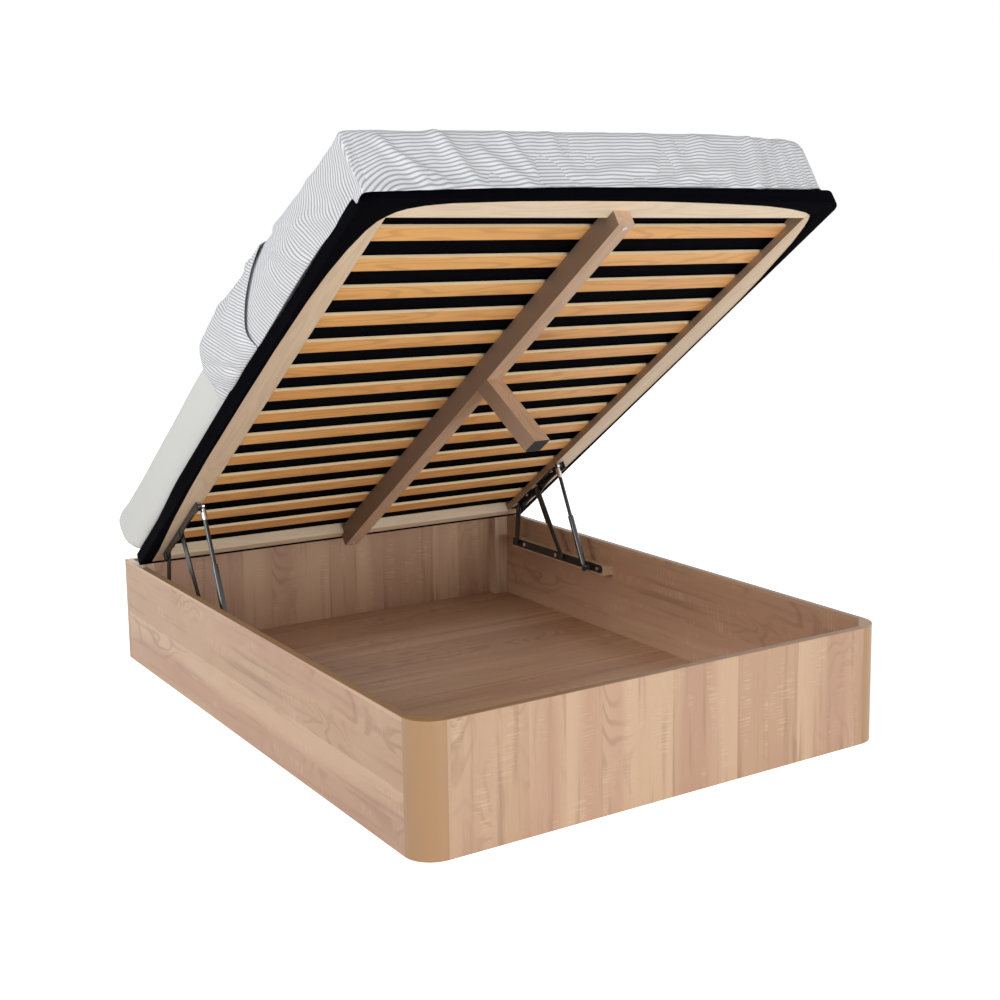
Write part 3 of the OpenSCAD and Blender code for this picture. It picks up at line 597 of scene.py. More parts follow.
def metal(name, colour, rough, metallic, wear=0.0, coat=0.0, grain=0.0):
    """Painted or bare metal; wear is the share of dust, grain the depth of the fine bump."""
    made, t, bsdf, where = material(name, rough, metallic)
    hand = use(t, "handling", {"Vector": where})
    lighter = tuple(min(1, c * 1.6 + 0.02) for c in colour)
    shade = t.mix(t.faded(hand["Smudge"], 0.35), colour, lighter)
    dusty = t.mix(t.faded(hand["Dust"], wear), shade, DUST_GREY)
    t.put(bsdf.inputs["Base Color"], dusty)
    t.put(bsdf.inputs["Roughness"], t.maths("MULTIPLY_ADD", hand["Smudge"], 0.14, rough))
    bsdf.inputs["Coat Weight"].default_value = coat
    bsdf.inputs["Coat Roughness"].default_value = 0.12
    fine = t.noise(where, 1400, 2)
    eased(t, bump(t, bsdf, fine, grain, 0.0002), 0.0006)
    return made


print("dust on metal:", DUST_GREY)

# %% The metals
black_steel = metal("black_steel", (0.008, 0.008, 0.009), 0.34, 0.0, wear=0.05, coat=0.12, grain=0.2)
dark_pins = metal("dark_pins", (0.06, 0.06, 0.065), 0.32, 0.6, wear=0.1)
strut_black = metal("strut_black", (0.012, 0.012, 0.013), 0.22, 0.0, wear=0.05, coat=0.7)
zinc = metal("zinc", (0.68, 0.68, 0.70), 0.27, 1.0, wear=0.05)
pad_rubber = metal("pad_rubber", (0.03, 0.03, 0.03), 0.75, 0.0, wear=0.2, grain=0.5)
print("metals and rubber:", [m.name for m in (black_steel, dark_pins, strut_black, zinc, pad_rubber)])

# %% [markdown]
# ## Strut rod
#
# The rod is black, and the fitting at its top end is bright plated steel. Both are one
# piece of the solid model, so the material changes at a height in the piece's own space.

# %% Strut rod
FITTING_Z = 0.507  # the plated fitting starts here, in the open pose
ROD_BLACK, PLATED = (0.012, 0.012, 0.013), (0.70, 0.70, 0.71)

rod_and_fitting, t, bsdf, where = material("rod_and_fitting", 0.2)
fitting = t.step(t.parts(where)["Z"], FITTING_Z - 0.001, FITTING_Z + 0.001)
t.put(bsdf.inputs["Base Color"], t.mix(fitting, ROD_BLACK, PLATED))
t.put(bsdf.inputs["Metallic"], fitting)
bsdf.inputs["Coat Weight"].default_value = 0.5
print("plated fitting from", FITTING_Z, "m up")

# %% [markdown]
# ## Cloth
#
# All three cloths share the weave. The black one is matt and swallows light, the sheet on
# the mattress is smooth off-white cotton, and the cover is white with grey stripes.


# %% Cloth recipe
def cloth(name, colour, shadow, threads, rough=0.9, sheen=0.3, gloss=0.3):
    """Woven cloth: (material, its tree, its shader, its plain colour)."""
    made, t, bsdf, where = material(name, rough)
    where = flat_lid(t, where)
    threads_of = use(t, "weave", {"Vector": where, "Threads per metre": threads})
    shade = t.mix(t.faded(threads_of["Slub"], 0.5), colour, shadow)
    t.put(bsdf.inputs["Base Color"], shade)
    bsdf.inputs["Sheen Weight"].default_value = sheen
    bsdf.inputs["Sheen Roughness"].default_value = 0.5
    bsdf.inputs["Specular IOR Level"].default_value = gloss
    bump(t, bsdf, threads_of["Thread"], 0.3, 0.0004)
    return made, t, bsdf, shade


print("cloth uses the group", bpy.data.node_groups["weave"].name)

# %% The cloths
STRIPE_GREY = (0.13, 0.135, 0.155)
STRIPE_STRENGTH = 0.58

black_cloth = cloth(
    "black_cloth", (0.0016, 0.0016, 0.0030), (0.001, 0.001, 0.0018), 1100, 0.98, 0.0, 0.03
)[0]
mattress_cloth = cloth("mattress_cloth", (0.71, 0.71, 0.68), (0.63, 0.63, 0.60), 700, 0.9, 0.15)[0]
cover_cloth, t, bsdf, white = cloth(
    "cover_cloth", (0.81, 0.815, 0.84), (0.75, 0.755, 0.78), 1300, 0.88, 0.12
)
across, run, _ = t.parts(t.node("ShaderNodeUVMap", uv_map="cloth").outputs[0])
stripe = use(t, "stripes", {"Run": run, "Across": across})["Stripe"]
t.put(bsdf.inputs["Base Color"], t.mix(t.faded(stripe, STRIPE_STRENGTH), white, STRIPE_GREY))
print("cloths:", black_cloth.name, mattress_cloth.name, cover_cloth.name)

# %% [markdown]
# ## Floor
#
# The floor is pale and keeps the bed's shadow. It would look grey in a plain level of light,
# so it glows a little, for the camera and for mirror rays only, and lights nothing.

# %% Floor material
FLOOR_GLOW = 0.72

pale_floor, t, bsdf, where = material("pale_floor", 0.9)
speck = t.noise(where, 3, 2)
t.put(bsdf.inputs["Base Color"], t.mix(speck, (0.86, 0.86, 0.86), (0.84, 0.84, 0.84)))
rays = t.node("ShaderNodeLightPath").outputs
mirrored = t.maths("ADD", rays["Is Camera Ray"], rays["Is Glossy Ray"])
looks = t.maths("ADD", mirrored, rays["Is Transmission Ray"], clamp=True)
bsdf.inputs["Emission Color"].default_value = (1, 1, 1, 1)
t.put(bsdf.inputs["Emission Strength"], t.maths("MULTIPLY", looks, FLOOR_GLOW))
floor.data.materials.append(pale_floor)
print("floor glow:", FLOOR_GLOW)

# %% [markdown]
# ## Materials on the solid pieces
#
# Each solid keeps its shape and gets its finish by its name. A table from name to material
# is easy to check against the list of pieces, and a piece without a row would stop here.

# %% Materials on the CAD nodes
MADE_OF = {
    "side_panel": board_long,
    "foot_panel": board_upright,
    "head_panel": board_upright,
    "floor_panel": board_floor,
    "corner_post": post_tan,
    "edge_banding": edge_tan,
    "corner_block": upright_wood,
    "floor_bearers": batten_wood,
    "batten": batten_wood,
    "base_bar": black_steel,
    "base_bolts": zinc,
    "base_pivots": dark_pins,
    "post_dowels": batten_wood,
    "head_panel_screws": zinc,
    "rear_link": black_steel,
    "front_link_rivets": dark_pins,
    "front_link": black_steel,
    "strut_cylinder": strut_black,
    "strut_rod": rod_and_fitting,
    "strut_pistons": dark_pins,
    "side_rail": rail_wood,
    "foot_rail": rail_cross_wood,
    "head_rail": rail_cross_wood,
    "slat": slat_wood,
    "centre_beam": beam_wood,
    "centre_leg": leg_wood,
    "leg_pad": pad_rubber,
    "beam_screws": zinc,
    "lid_bracket": black_steel,
    "bracket_bolts": zinc,
    "bracket_pivots": dark_pins,
    "lid_cover": black_cloth,
    "mattress": mattress_cloth,
    "bed_cover": mattress_cloth,
}
for name, node in nodes.items():
    kind = next(m for k, m in MADE_OF.items() if name.startswith(k))
    node.data.materials.clear()
    node.data.materials.append(kind)
print("materials:", len(bpy.data.materials))

# %% [markdown]
# ## Building cloth
#
# Soft pieces are made flat on the lid, as (x, v, z), and tipped to the open pose at the end.
# A surface is a grid of quads with its own cloth coordinates. `padded_shell` gives it a
# second skin and closes the rim, so that it can hold air.


# %% Nets and shells
def grid_quads(ids):
    """The quads of a 2-D array of point numbers."""
    a, b, c, d = ids[:-1, :-1], ids[1:, :-1], ids[1:, 1:], ids[:-1, 1:]
    return np.stack([a, b, c, d], axis=-1).reshape(-1, 4)


def normals_of(points, quads):
    """Point normals of a quad surface."""
    p = points[quads]
    face = np.cross(p[:, 2] - p[:, 0], p[:, 3] - p[:, 1])
    total = np.zeros_like(points)
    for k in range(4):
        np.add.at(total, quads[:, k], face)
    return total / np.maximum(np.linalg.norm(total, axis=1, keepdims=True), 1e-12)


print("a net of 3 x 2 points has", len(grid_quads(np.arange(6).reshape(3, 2))), "quads")


# %% Shells
def padded_shell(points, quads, uv, thick):
    """Closes a surface with an inner skin: (points, quads, uv), outer skin first."""
    n = len(points)
    inner = points - normals_of(points, quads) * np.reshape(thick, (-1, 1))
    edges = np.concatenate([quads[:, [k, (k + 1) % 4]] for k in range(4)])
    cloth_at = np.concatenate([uv[:, [k, (k + 1) % 4]] for k in range(4)])
    keys = np.sort(edges, axis=1)
    once = np.unique(keys, axis=0, return_index=True, return_counts=True)
    rim = once[1][once[2] == 1]
    a, b = edges[rim].T
    sides = np.stack([b, a, a + n, b + n], axis=1)
    side_uv = cloth_at[rim][:, [1, 0, 0, 1]]
    all_quads = np.concatenate([quads, quads[:, ::-1] + n, sides])
    return np.concatenate([points, inner]), all_quads, np.concatenate([uv, uv[:, ::-1], side_uv])


def cloth_object(name, points, quads, uv, kind):
    """A soft piece with its cloth coordinates in a UV map."""
    made = mesh_object(name, points, quads)
    layer = made.data.uv_layers.new(name="cloth")
    layer.data.foreach_set("uv", np.asarray(uv, np.float32).ravel())
    made.data.polygons.foreach_set("use_smooth", [True] * len(made.data.polygons))
    made.data.materials.append(kind)
    return made


one = padded_shell(np.eye(4, 3), np.array([[0, 1, 2, 3]]), np.zeros((1, 4, 2)), 1)
print("a shell of one quad has", len(one[1]), "faces")


# %% Points in and out
def points_of(thing):
    flat = np.zeros(len(thing.data.vertices) * 3, np.float32)
    thing.data.vertices.foreach_get("co", flat)
    return flat.reshape(-1, 3).astype(float)


def set_points(thing, points):
    thing.data.vertices.foreach_set("co", np.asarray(points, np.float32).ravel())
    thing.data.update()


print("points of the floor:", len(points_of(floor)))

# %% [markdown]
# ## Swelling and creasing
#
# A padded piece is fuller than its pattern. `puff` runs Blender's cloth with a little air
# pressure and keeps each point within a cap, so the pad swells but keeps its place. Creases
# are finer than the net that can be simulated in good time, so `finer` splits the net once
# and the creases are then moved in by listed ridges and smooth noise.

# %% Swelling
PUFF_FRAMES = 20
THREAD_STIFFNESS, SHEAR_STIFFNESS, BEND_STIFFNESS = 12, 6, 0.4


def puff(thing, pressure, cap, held, slack=0.0):
    """Swells a closed pad with air, for at most cap metres a point. held: the pinned points."""
    start = points_of(thing)
    cloth = thing.modifiers.new("swell", "CLOTH")
    s = cloth.settings
    s.quality, s.mass, s.air_damping = 5, 0.3, 1.0
    s.tension_stiffness = s.compression_stiffness = THREAD_STIFFNESS
    s.shear_stiffness, s.bending_stiffness = SHEAR_STIFFNESS, BEND_STIFFNESS
    s.use_pressure, s.uniform_pressure_force = True, pressure
    s.shrink_min = -slack
    s.effector_weights.gravity = 0
    cloth.collision_settings.use_collision = False
    pins = thing.vertex_groups.new(name="held")
    pins.add([int(i) for i in np.flatnonzero(held)], 1.0, "REPLACE")
    s.vertex_group_mass = "held"
    cloth.point_cache.frame_start, cloth.point_cache.frame_end = 1, PUFF_FRAMES
    for frame_number in range(1, PUFF_FRAMES + 1):
        bpy.context.scene.frame_set(frame_number)
    seen_mesh = thing.evaluated_get(bpy.context.evaluated_depsgraph_get()).to_mesh()
    after = np.zeros(len(start) * 3, np.float32)
    seen_mesh.vertices.foreach_get("co", after)
    move = after.reshape(-1, 3) - start
    far = np.linalg.norm(move, axis=1, keepdims=True)
    thing.modifiers.remove(cloth)
    bpy.context.scene.frame_set(1)
    set_points(thing, start + move * np.minimum(1, cap / np.maximum(far, 1e-9)))
    print(f"{thing.name}: {len(start)} points, moved {far.mean() * 1000:.1f} mm before the cap")


# %% Splitting and tipping
def finer(thing, outer):
    """Splits the net once: (points, quads, the mask outer on the new points)."""
    mask = thing.data.attributes.new("outer", "FLOAT", "POINT")
    mask.data.foreach_set("value", np.asarray(outer, np.float32))
    smoother = thing.modifiers.new("split", "SUBSURF")
    smoother.levels = smoother.render_levels = 1
    fine = bpy.data.meshes.new_from_object(thing.evaluated_get(bpy.context.evaluated_depsgraph_get()))
    thing.modifiers.remove(smoother)
    thing.data = fine
    share = np.zeros(len(fine.vertices), np.float32)
    fine.attributes["outer"].data.foreach_get("value", share)
    corners = np.zeros(len(fine.polygons) * 4, np.int32)
    fine.polygons.foreach_get("vertices", corners)
    return points_of(thing), corners.reshape(-1, 4), share.astype(float)


def tip(thing, levels=1):
    """Tips a flat-made piece to the open pose and smooths it by some levels."""
    set_points(thing, on_lid(points_of(thing)))
    if levels:
        smoother = thing.modifiers.new("smooth", "SUBSURF")
        smoother.levels = smoother.render_levels = levels


print("each split makes four faces of one")


# %% Folds and noise
def soft_noise(points, scale, seed):
    """Smooth noise at points, from -1 to 1."""
    return np.array([noise.noise(Vector(p * scale + seed)) for p in points])


def ridges(across, along, folds):
    """Height of a set of folds at 2-D places. A fold: from, to, width, height.

    A fold is a rounded ridge with a shallow trough on both sides, as pulled cloth makes.
    """
    total = np.zeros(len(across))
    for x0, y0, x1, y1, width, height in folds:
        dx, dy = x1 - x0, y1 - y0
        share = np.clip(((across - x0) * dx + (along - y0) * dy) / (dx * dx + dy * dy), 0, 1)
        gap = np.hypot(across - x0 - share * dx, along - y0 - share * dy) / width
        total += height * (np.exp(-(gap**2)) - 0.45 * np.exp(-((gap / 2) ** 2)))
    return total


print("share of a fold's height at its crest:", ridges(np.zeros(1), np.zeros(1), [(0, 0, 1, 0, 1, 1)]))

# %% [markdown]
# ## Mattress
#
# A double mattress, 170 mm thick, that stands past the head edge of the lid; its head end
# slants back below. Rings of points give its outline, each a rounded rectangle. A voxel
# remesh turns them into an even net, which swells evenly.

# %% Mattress size
MAT_HALF, MAT_HEAD, MAT_FOOT = 0.690, -0.112, 1.896
MAT_LOW, MAT_TALL, MAT_CORNER = 0.038, 0.170, 0.072
MAT_VOXEL = 0.022
# Rows from below to the crown: inset, height share, and how far the head end slants back.
MAT_SIDE = (
    (0.034, 0, 0.088), (0.014, 0.02, 0.086), (0.005, 0.08, 0.078), (0.003, 0.2, 0.058),
    (0, 0.4, 0.022), (0, 0.6, 0.004), (0.002, 0.80, 0), (0.005, 0.89, 0.002),
    (0.014, 0.95, 0.005), (0.04, 0.975, 0.008), (0.15, 0.99, 0.008), (0.4, 1.0, 0.008),
)
# The soft pieces fall toward the foot: across the bed, the share of height kept at the end.
FALL_X, FALL_TO = (-0.68, -0.42, -0.02, 0.51, 0.6), (0.76, 0.865, 0.925, 1.0, 0.96)
FALL_FROM, FALL_RUN = 1.50, 0.425


def foot_fall(x, v):
    """Share of its height that a soft piece keeps: it falls toward the foot, most on the left."""
    return 1 + (between(x, FALL_X, FALL_TO) - 1) * smooth((v - FALL_FROM) / FALL_RUN)


def mattress_ring(inset, z, slant, per_corner=10):
    """One rounded rectangle of points around the mattress."""
    w, r = MAT_HALF - inset, max(MAT_CORNER - inset, 0.02)
    y0, y1 = MAT_HEAD + inset + slant, MAT_FOOT - inset
    ring = []
    for corner in range(4):
        sx, top = (1 if corner in (0, 3) else -1), corner in (0, 1)
        for k in range(per_corner + 1):
            a = math.radians(90 * (corner + k / per_corner))
            middle = (y1 - r) if top else (y0 + r)
            ring.append((sx * (w - r) + r * math.cos(a), middle + r * math.sin(a), z))
    return ring


print("mattress:", 2 * MAT_HALF, "x", round(MAT_FOOT - MAT_HEAD, 3), "x", MAT_TALL, "m")

# %% Mattress form
rings = [mattress_ring(d, MAT_LOW + share * MAT_TALL, slant) for d, share, slant in MAT_SIDE]
count = len(rings[0])
faces = [tuple(range(count))[::-1]]
faces.append(tuple((len(rings) - 1) * count + k for k in range(count)))
for i in range(len(rings) - 1):
    for k in range(count):
        a, b = i * count + k, i * count + (k + 1) % count
        faces.append((a, b, b + count, a + count))
rough = mesh_object("mattress_rough", [p for ring in rings for p in ring], faces)
remesh = rough.modifiers.new("even", "REMESH")
remesh.mode, remesh.voxel_size = "VOXEL", MAT_VOXEL
even = bpy.data.meshes.new_from_object(rough.evaluated_get(bpy.context.evaluated_depsgraph_get()))
bpy.data.objects.remove(rough)
mattress = bpy.data.objects.new("mattress_sheeted", even)
bpy.context.scene.collection.objects.link(mattress)
mattress.data.polygons.foreach_set("use_smooth", [True] * len(mattress.data.polygons))
mattress.data.materials.clear()
mattress.data.materials.append(mattress_cloth)
print("mattress net:", len(mattress.data.polygons), "faces")
puff(mattress, 4, 0.006, points_of(mattress)[:, 2] < MAT_LOW + 0.004)

# %% [markdown]
# ## Fitted sheet
#
# The sheet on the mattress pulls into soft upright wrinkles, most of all near the head
# corners and low down, where its elastic gathers it. Noise that is stretched upright
# gives them. A simulated sheet would wrinkle too, but not just where it should.

# %% Wrinkles of the sheet
WRINKLE = 0.009

p = points_of(mattress)
side = smooth((np.abs(p[:, 0]) - 0.60) / 0.06) + smooth((MAT_HEAD + 0.07 - p[:, 1]) / 0.05)
low = 1 - smooth((p[:, 2] - 0.05) / 0.13)
upright = soft_noise(p * (1, 1, 0.22), 14, 3.0) * 0.6 + soft_noise(p * (1, 1, 0.15), 31, 9.0) * 0.4
corner_pull = np.exp(-(((p[:, 1] - MAT_HEAD) / 0.30) ** 2)) + 0.45
swell = side * upright * (0.35 + 0.65 * low) * corner_pull * WRINKLE
swell += soft_noise(p, 3.2, 5.0) * 0.003
even_normals = np.array([v.normal for v in mattress.data.vertices])
p += even_normals * swell[:, None]
# Under the cover it is drawn in a little and falls toward the foot, as the cover does.
covered = smooth((p[:, 1] - 1.0) / 0.1)
p[:, 0] *= 1 - 0.022 * covered
p[:, 2] = MAT_LOW + (p[:, 2] - MAT_LOW) * (1 - 0.05 * covered) * foot_fall(p[:, 0], p[:, 1])
p[:, 2] = np.maximum(p[:, 2], MAT_LOW - 0.0008)  # it lies on the black cloth
print(f"wrinkles up to {abs(swell).max() * 1000:.1f} mm")

# %% Mattress in place
set_points(mattress, p)
tip(mattress)
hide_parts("mattress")
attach(mattress, "lid")
print("mattress points:", len(p))

# %% [markdown]
# ## Bed cover
#
# The striped cover lies over the foot half of the mattress and hangs down three sides to the
# black cloth. Its head part is folded back over itself. On top and at the sides the stripes
# keep their distance along the bed; at the foot they count on down the drop, so the cloth
# turns a sharp corner at the left foot edge and gathers softly at the right one. A box with
# rounded edges is the base, and `cover_place` rounds each corner by its own radius.

# %% Cover size
COVER_HEM = 0.032  # lowest edge, over the rim of the black cloth
COVER_TOP = 0.219  # its top face over the mattress
COVER_HEAD = 0.962  # head end of the single layer, hidden in the fold
COVER_FOOT = 1.925
COVER_GRID = 0.017
COVER_EDGE_R = 0.045  # rounding over the mattress edges
RIGHT_CORNER_R = 0.115  # the soft corner
FOOT_EDGE_R = 0.020  # the top edge is sharper at the foot
HEM_TUCK = 0.020
HEM_LIFT = 0.012  # at the right foot corner
HANG_X, HANG_BY = (-0.68, -0.4, -0.08, 0.21), (0.025, 0.012, 0.004, 0.0)
# How far a side stripe has gone toward the foot, against the drop below the top.
LEAN_AT = ((0, 0.09, 0.19), (0, -0.055, -0.012))
FOOT_LEAN = -0.30  # the same near the foot corner, for each metre of drop
CREASE_DIP = 0.45  # slope of the foot stripes beside the left crease
print("cover drop:", round(COVER_TOP - COVER_HEM, 3), "m")


# %% Cover form
def cover_half(v, side):
    """Half width of the cover; it draws in toward the foot corners."""
    narrow = smooth((v - 1.5) / 0.4)
    return np.where(side < 0, 0.702 - 0.012 * narrow, 0.698 - 0.008 * narrow)


def cover_place(share, v, drop):
    """Cover points from the share of the half width, v, and the drop below the top."""
    half_here = cover_half(v, share)
    x, z = share * half_here, COVER_TOP - drop
    left_end = smooth((-x - 0.5) / 0.1) * smooth((v - 1.7) / 0.12)
    right_end = smooth((x - 0.3) / 0.25) * smooth((v - 1.5) / 0.3)
    r_plan = COVER_EDGE_R + (0.015 - COVER_EDGE_R) * left_end
    r_plan = r_plan + (RIGHT_CORNER_R - COVER_EDGE_R) * right_end
    r_top = COVER_EDGE_R + (FOOT_EDGE_R - COVER_EDGE_R) * smooth((v - 1.6) / 0.2)
    radii = np.stack([r_plan, r_plan, r_top], axis=1)
    whole = np.stack([x, v, z], axis=1)
    limit_x = half_here - r_plan
    limits = (np.minimum(v, COVER_FOOT - r_plan), np.minimum(z, COVER_TOP - r_top))
    inner = np.stack([np.clip(x, -limit_x, limit_x), *limits], axis=1)
    off = (whole - inner) / radii
    far = np.linalg.norm(off, axis=1, keepdims=True)
    rounded = inner + off / np.maximum(far, 1e-9) * radii * (far > 1e-9)
    x, v = rounded[:, 0], rounded[:, 1]
    rounded[:, 2] = COVER_HEM + (rounded[:, 2] - COVER_HEM) * foot_fall(x, v)
    # The hem is drawn in to the black cloth, hangs lower at the left foot corner and lifts
    # a little at the right one.
    near_hem = (1 - np.clip((rounded[:, 2] - COVER_HEM) / 0.05, 0, 1)) ** 2
    on_foot = smooth((v - 1.86) / 0.04)
    at_side = smooth((np.abs(x) - 0.6) / 0.06) * (1 - 0.5 * on_foot)
    rounded[:, 0] -= np.sign(x) * HEM_TUCK * near_hem * at_side
    hang = between(x, HANG_X, HANG_BY) * smooth((v - 1.68) / 0.2)
    lift = smooth((x - 0.56) / 0.1) * smooth((v - 1.70) / 0.16)
    rounded[:, 2] += (HEM_LIFT * lift - hang) * near_hem
    return rounded


print("half widths at the foot:", cover_half(COVER_FOOT, np.array((-1, 1))))


# %% Lean of the side stripes
def fan(v, drop):
    """Run length along the bed on a side: the stripes lean, less so near the corner."""
    near_foot = smooth((v - 1.62) / 0.16)
    lean = between(drop, *LEAN_AT) * (1 + 0.2 * np.sin(9 * v))
    return v - lean * (1 - near_foot) - FOOT_LEAN * drop * near_foot


print("the lean is greatest", LEAN_AT[0][1], "m below the top")

# %% [markdown]
# ## The single layer
#
# One net covers top and sides like a tunnel, a second one hangs down at the foot. They share
# the points of the foot edge, so the cloth is one piece, but each has its own run of stripes.

# %% Top and sides
drops = np.linspace(COVER_TOP - COVER_HEM, 0, 11)[:-1]
shares = np.linspace(-1, 1, 83)
steps_v = np.arange(COVER_HEAD, COVER_FOOT - 0.004, COVER_GRID)
steps_v = np.append(steps_v, COVER_FOOT)
side_share = np.concatenate([np.full(len(drops), -1.0), shares, np.full(len(drops), 1.0)])
side_drop = np.concatenate([drops, np.zeros(len(shares)), drops[::-1]])
tunnel = np.arange(len(side_share) * len(steps_v)).reshape(len(side_share), len(steps_v))
S, V = np.meshgrid(side_share, steps_v, indexing="ij")
D = np.broadcast_to(side_drop[:, None], S.shape)
place = [S.ravel(), V.ravel(), D.ravel()]

print("tunnel:", tunnel.shape, "points")

# %% Foot
# The foot sheet shares its top row and both upright edges with the tunnel.
n_drop, n_share = len(drops), len(shares)
foot = np.zeros((n_share, n_drop + 1), int)
foot[:, 0] = tunnel[n_drop : n_drop + n_share, -1]
foot[0, 1:] = tunnel[:n_drop, -1][::-1]
foot[-1, 1:] = tunnel[n_drop + n_share :, -1]
fresh = np.arange(n_share * n_drop - 2 * n_drop) + tunnel.size
foot[1:-1, 1:] = fresh.reshape(n_share - 2, n_drop)
fs, fd = np.meshgrid(shares[1:-1], drops[::-1], indexing="ij")
place[0] = np.concatenate([place[0], fs.ravel()])
place[1] = np.concatenate([place[1], np.full(fs.size, COVER_FOOT)])
place[2] = np.concatenate([place[2], fd.ravel()])
share_of, v_of, drop_of = place

surface = cover_place(share_of, v_of, drop_of)
print("single layer:", len(surface), "points")

# %% Run of the stripes
FOOT_HALF = 0.69  # half width of the cloth's own coordinates at the foot
FOOT_STRETCH = 1.25  # the stripes lie closer there than at the sides
DIP_FROM = 0.60

tunnel_quads, foot_quads = grid_quads(tunnel)[:, ::-1], grid_quads(foot)[:, ::-1]
across_of = share_of * cover_half(v_of, share_of) + np.sign(share_of) * drop_of
tunnel_uv = np.stack([across_of, fan(v_of, drop_of)], axis=1)[tunnel_quads]
foot_x = share_of * FOOT_HALF
real_drop = drop_of * foot_fall(foot_x, COVER_FOOT)
dip = CREASE_DIP * np.maximum(-DIP_FROM - foot_x, 0)
foot_uv = np.stack([foot_x, COVER_FOOT + FOOT_STRETCH * real_drop - dip], axis=1)[foot_quads]
quads = np.concatenate([tunnel_quads, foot_quads])
uv = np.concatenate([tunnel_uv, foot_uv])
if normals_of(surface, quads)[tunnel[len(side_share) // 2, 5], 2] < 0:
    quads, uv = quads[:, ::-1], uv[:, ::-1]
print("runs from", uv[:, :, 1].min().round(3), "to", uv[:, :, 1].max().round(3), "m")

# %% Swollen cover
COVER_THICK, HEM_THINNER = 0.011, 0.006
COVER_AIR, COVER_CAP, COVER_SLACK = 3, 0.007, 0.02

hem_near = 1 - smooth((COVER_TOP - COVER_HEM - drop_of) / 0.03)
pts, quads, uv = padded_shell(surface, quads, uv, COVER_THICK - HEM_THINNER * hem_near)
cover = cloth_object("bed_cover_drape", pts, quads, uv, cover_cloth)
held = np.zeros(len(pts), bool)
held[len(surface) :] = True
held[: len(surface)] = hem_near > 0.5
puff(cover, COVER_AIR, COVER_CAP, held, COVER_SLACK)

# %% [markdown]
# ## Folds of the cover
#
# At the foot the cloth hangs in pulls from the left corner and is gathered at the right
# one; the left side has a few long folds. Each is one row: from, to, width and height. The
# foot's folds die out under the top edge, which stays straight.

# %% Fold places
FOOT_FOLDS = (
    (-0.665, 0.15, -0.668, 0.03, 0.010, -0.008), (-0.60, 0.14, -0.52, 0.04, 0.014, 0.014),
    (-0.56, 0.10, -0.47, 0.035, 0.012, 0.012), (-0.46, 0.17, -0.40, 0.05, 0.018, 0.014),
    (-0.36, 0.12, -0.27, 0.04, 0.018, 0.012), (-0.29, 0.17, -0.24, 0.08, 0.016, 0.009),
    (-0.16, 0.19, -0.14, 0.07, 0.022, 0.010), (-0.10, 0.06, 0.10, 0.10, 0.020, 0.010),
    (0.12, 0.05, 0.30, 0.09, 0.020, 0.010), (0.28, 0.17, 0.20, 0.06, 0.024, 0.010),
    (0.36, 0.14, 0.33, 0.05, 0.018, 0.010), (0.44, 0.18, 0.40, 0.04, 0.016, 0.019),
    (0.485, 0.18, 0.46, 0.045, 0.013, 0.017), (0.525, 0.17, 0.515, 0.045, 0.013, 0.018),
    (0.565, 0.17, 0.56, 0.05, 0.012, 0.016), (0.60, 0.16, 0.605, 0.05, 0.012, 0.012),
)
SIDE_FOLDS = (
    (1.52, 0.19, 1.76, 0.06, 0.022, 0.009), (1.47, 0.17, 1.60, 0.05, 0.020, 0.009),
    (1.43, 0.15, 1.47, 0.05, 0.018, 0.005), (1.70, 0.20, 1.85, 0.07, 0.022, 0.005),
    (1.62, 0.12, 1.66, 0.04, 0.016, 0.004),
)
print("folds:", len(FOOT_FOLDS), "at the foot,", len(SIDE_FOLDS), "at the side")

# %% Creased cover
FINE_CRINKLE = 0.007

loose = (1 - 0.6 * np.append(hem_near, hem_near)) * (np.arange(len(pts)) < len(surface))
p, fine_quads, loose = finer(cover, loose)
skin = normals_of(p, fine_quads)
foot_height = (COVER_TOP - COVER_HEM) * foot_fall(p[:, 0], np.full(len(p), COVER_FOOT))
below_edge = COVER_HEM + foot_height - p[:, 2]
under_top = smooth(below_edge / 0.035)
on_foot = smooth((p[:, 1] - 1.83) / 0.06)
on_side = smooth((np.abs(p[:, 0]) - 0.60) / 0.06) * (1 - on_foot)
crease = ridges(p[:, 0], p[:, 2], FOOT_FOLDS) * on_foot * under_top
crease += ridges(p[:, 1], p[:, 2], SIDE_FOLDS) * on_side
rolling = soft_noise(p, 5.0, 2.0) * 0.006 + soft_noise(p, 13.0, 4.0) * 0.0025
crease += rolling * (1 - on_side * 0.5) * (1 - on_foot * (1 - 0.8 * under_top))
crease += FINE_CRINKLE * on_foot * under_top * soft_noise(p * (1, 1, 0.35), 24, 6.0)
print(f"creases from {crease.min() * 1000:.0f} to {crease.max() * 1000:.0f} mm")
set_points(cover, p + skin * (crease * loose)[:, None])
tip(cover, 0)
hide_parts("bed_cover")
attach(cover, "lid")

# %% [markdown]
# ## The folded-back part
#
# The head part of the cover lies back over the single layer as a plump roll. Its head side
# is the fold, its foot side the open hem, which runs down the side in a curve. It uses the
# same base as the single layer and rises from the hem, so the two can't cross.

# %% Fold size
FOLD_RISE = 0.046  # height of the roll over the layer below
HEM_AT = ((0, 0.02, 0.04, 0.07, 0.10, 0.135, 0.182), (1.43, 1.45, 1.38, 1.31, 1.27, 1.245, 1.245))
FOLD_AT = ((0, 0.03, 0.05, 0.08, 0.11, 0.14, 0.187), (0.985, 0.960, 0.942, 0.938, 0.955, 0.978, 1.03))
HEM_THICK = 0.0022

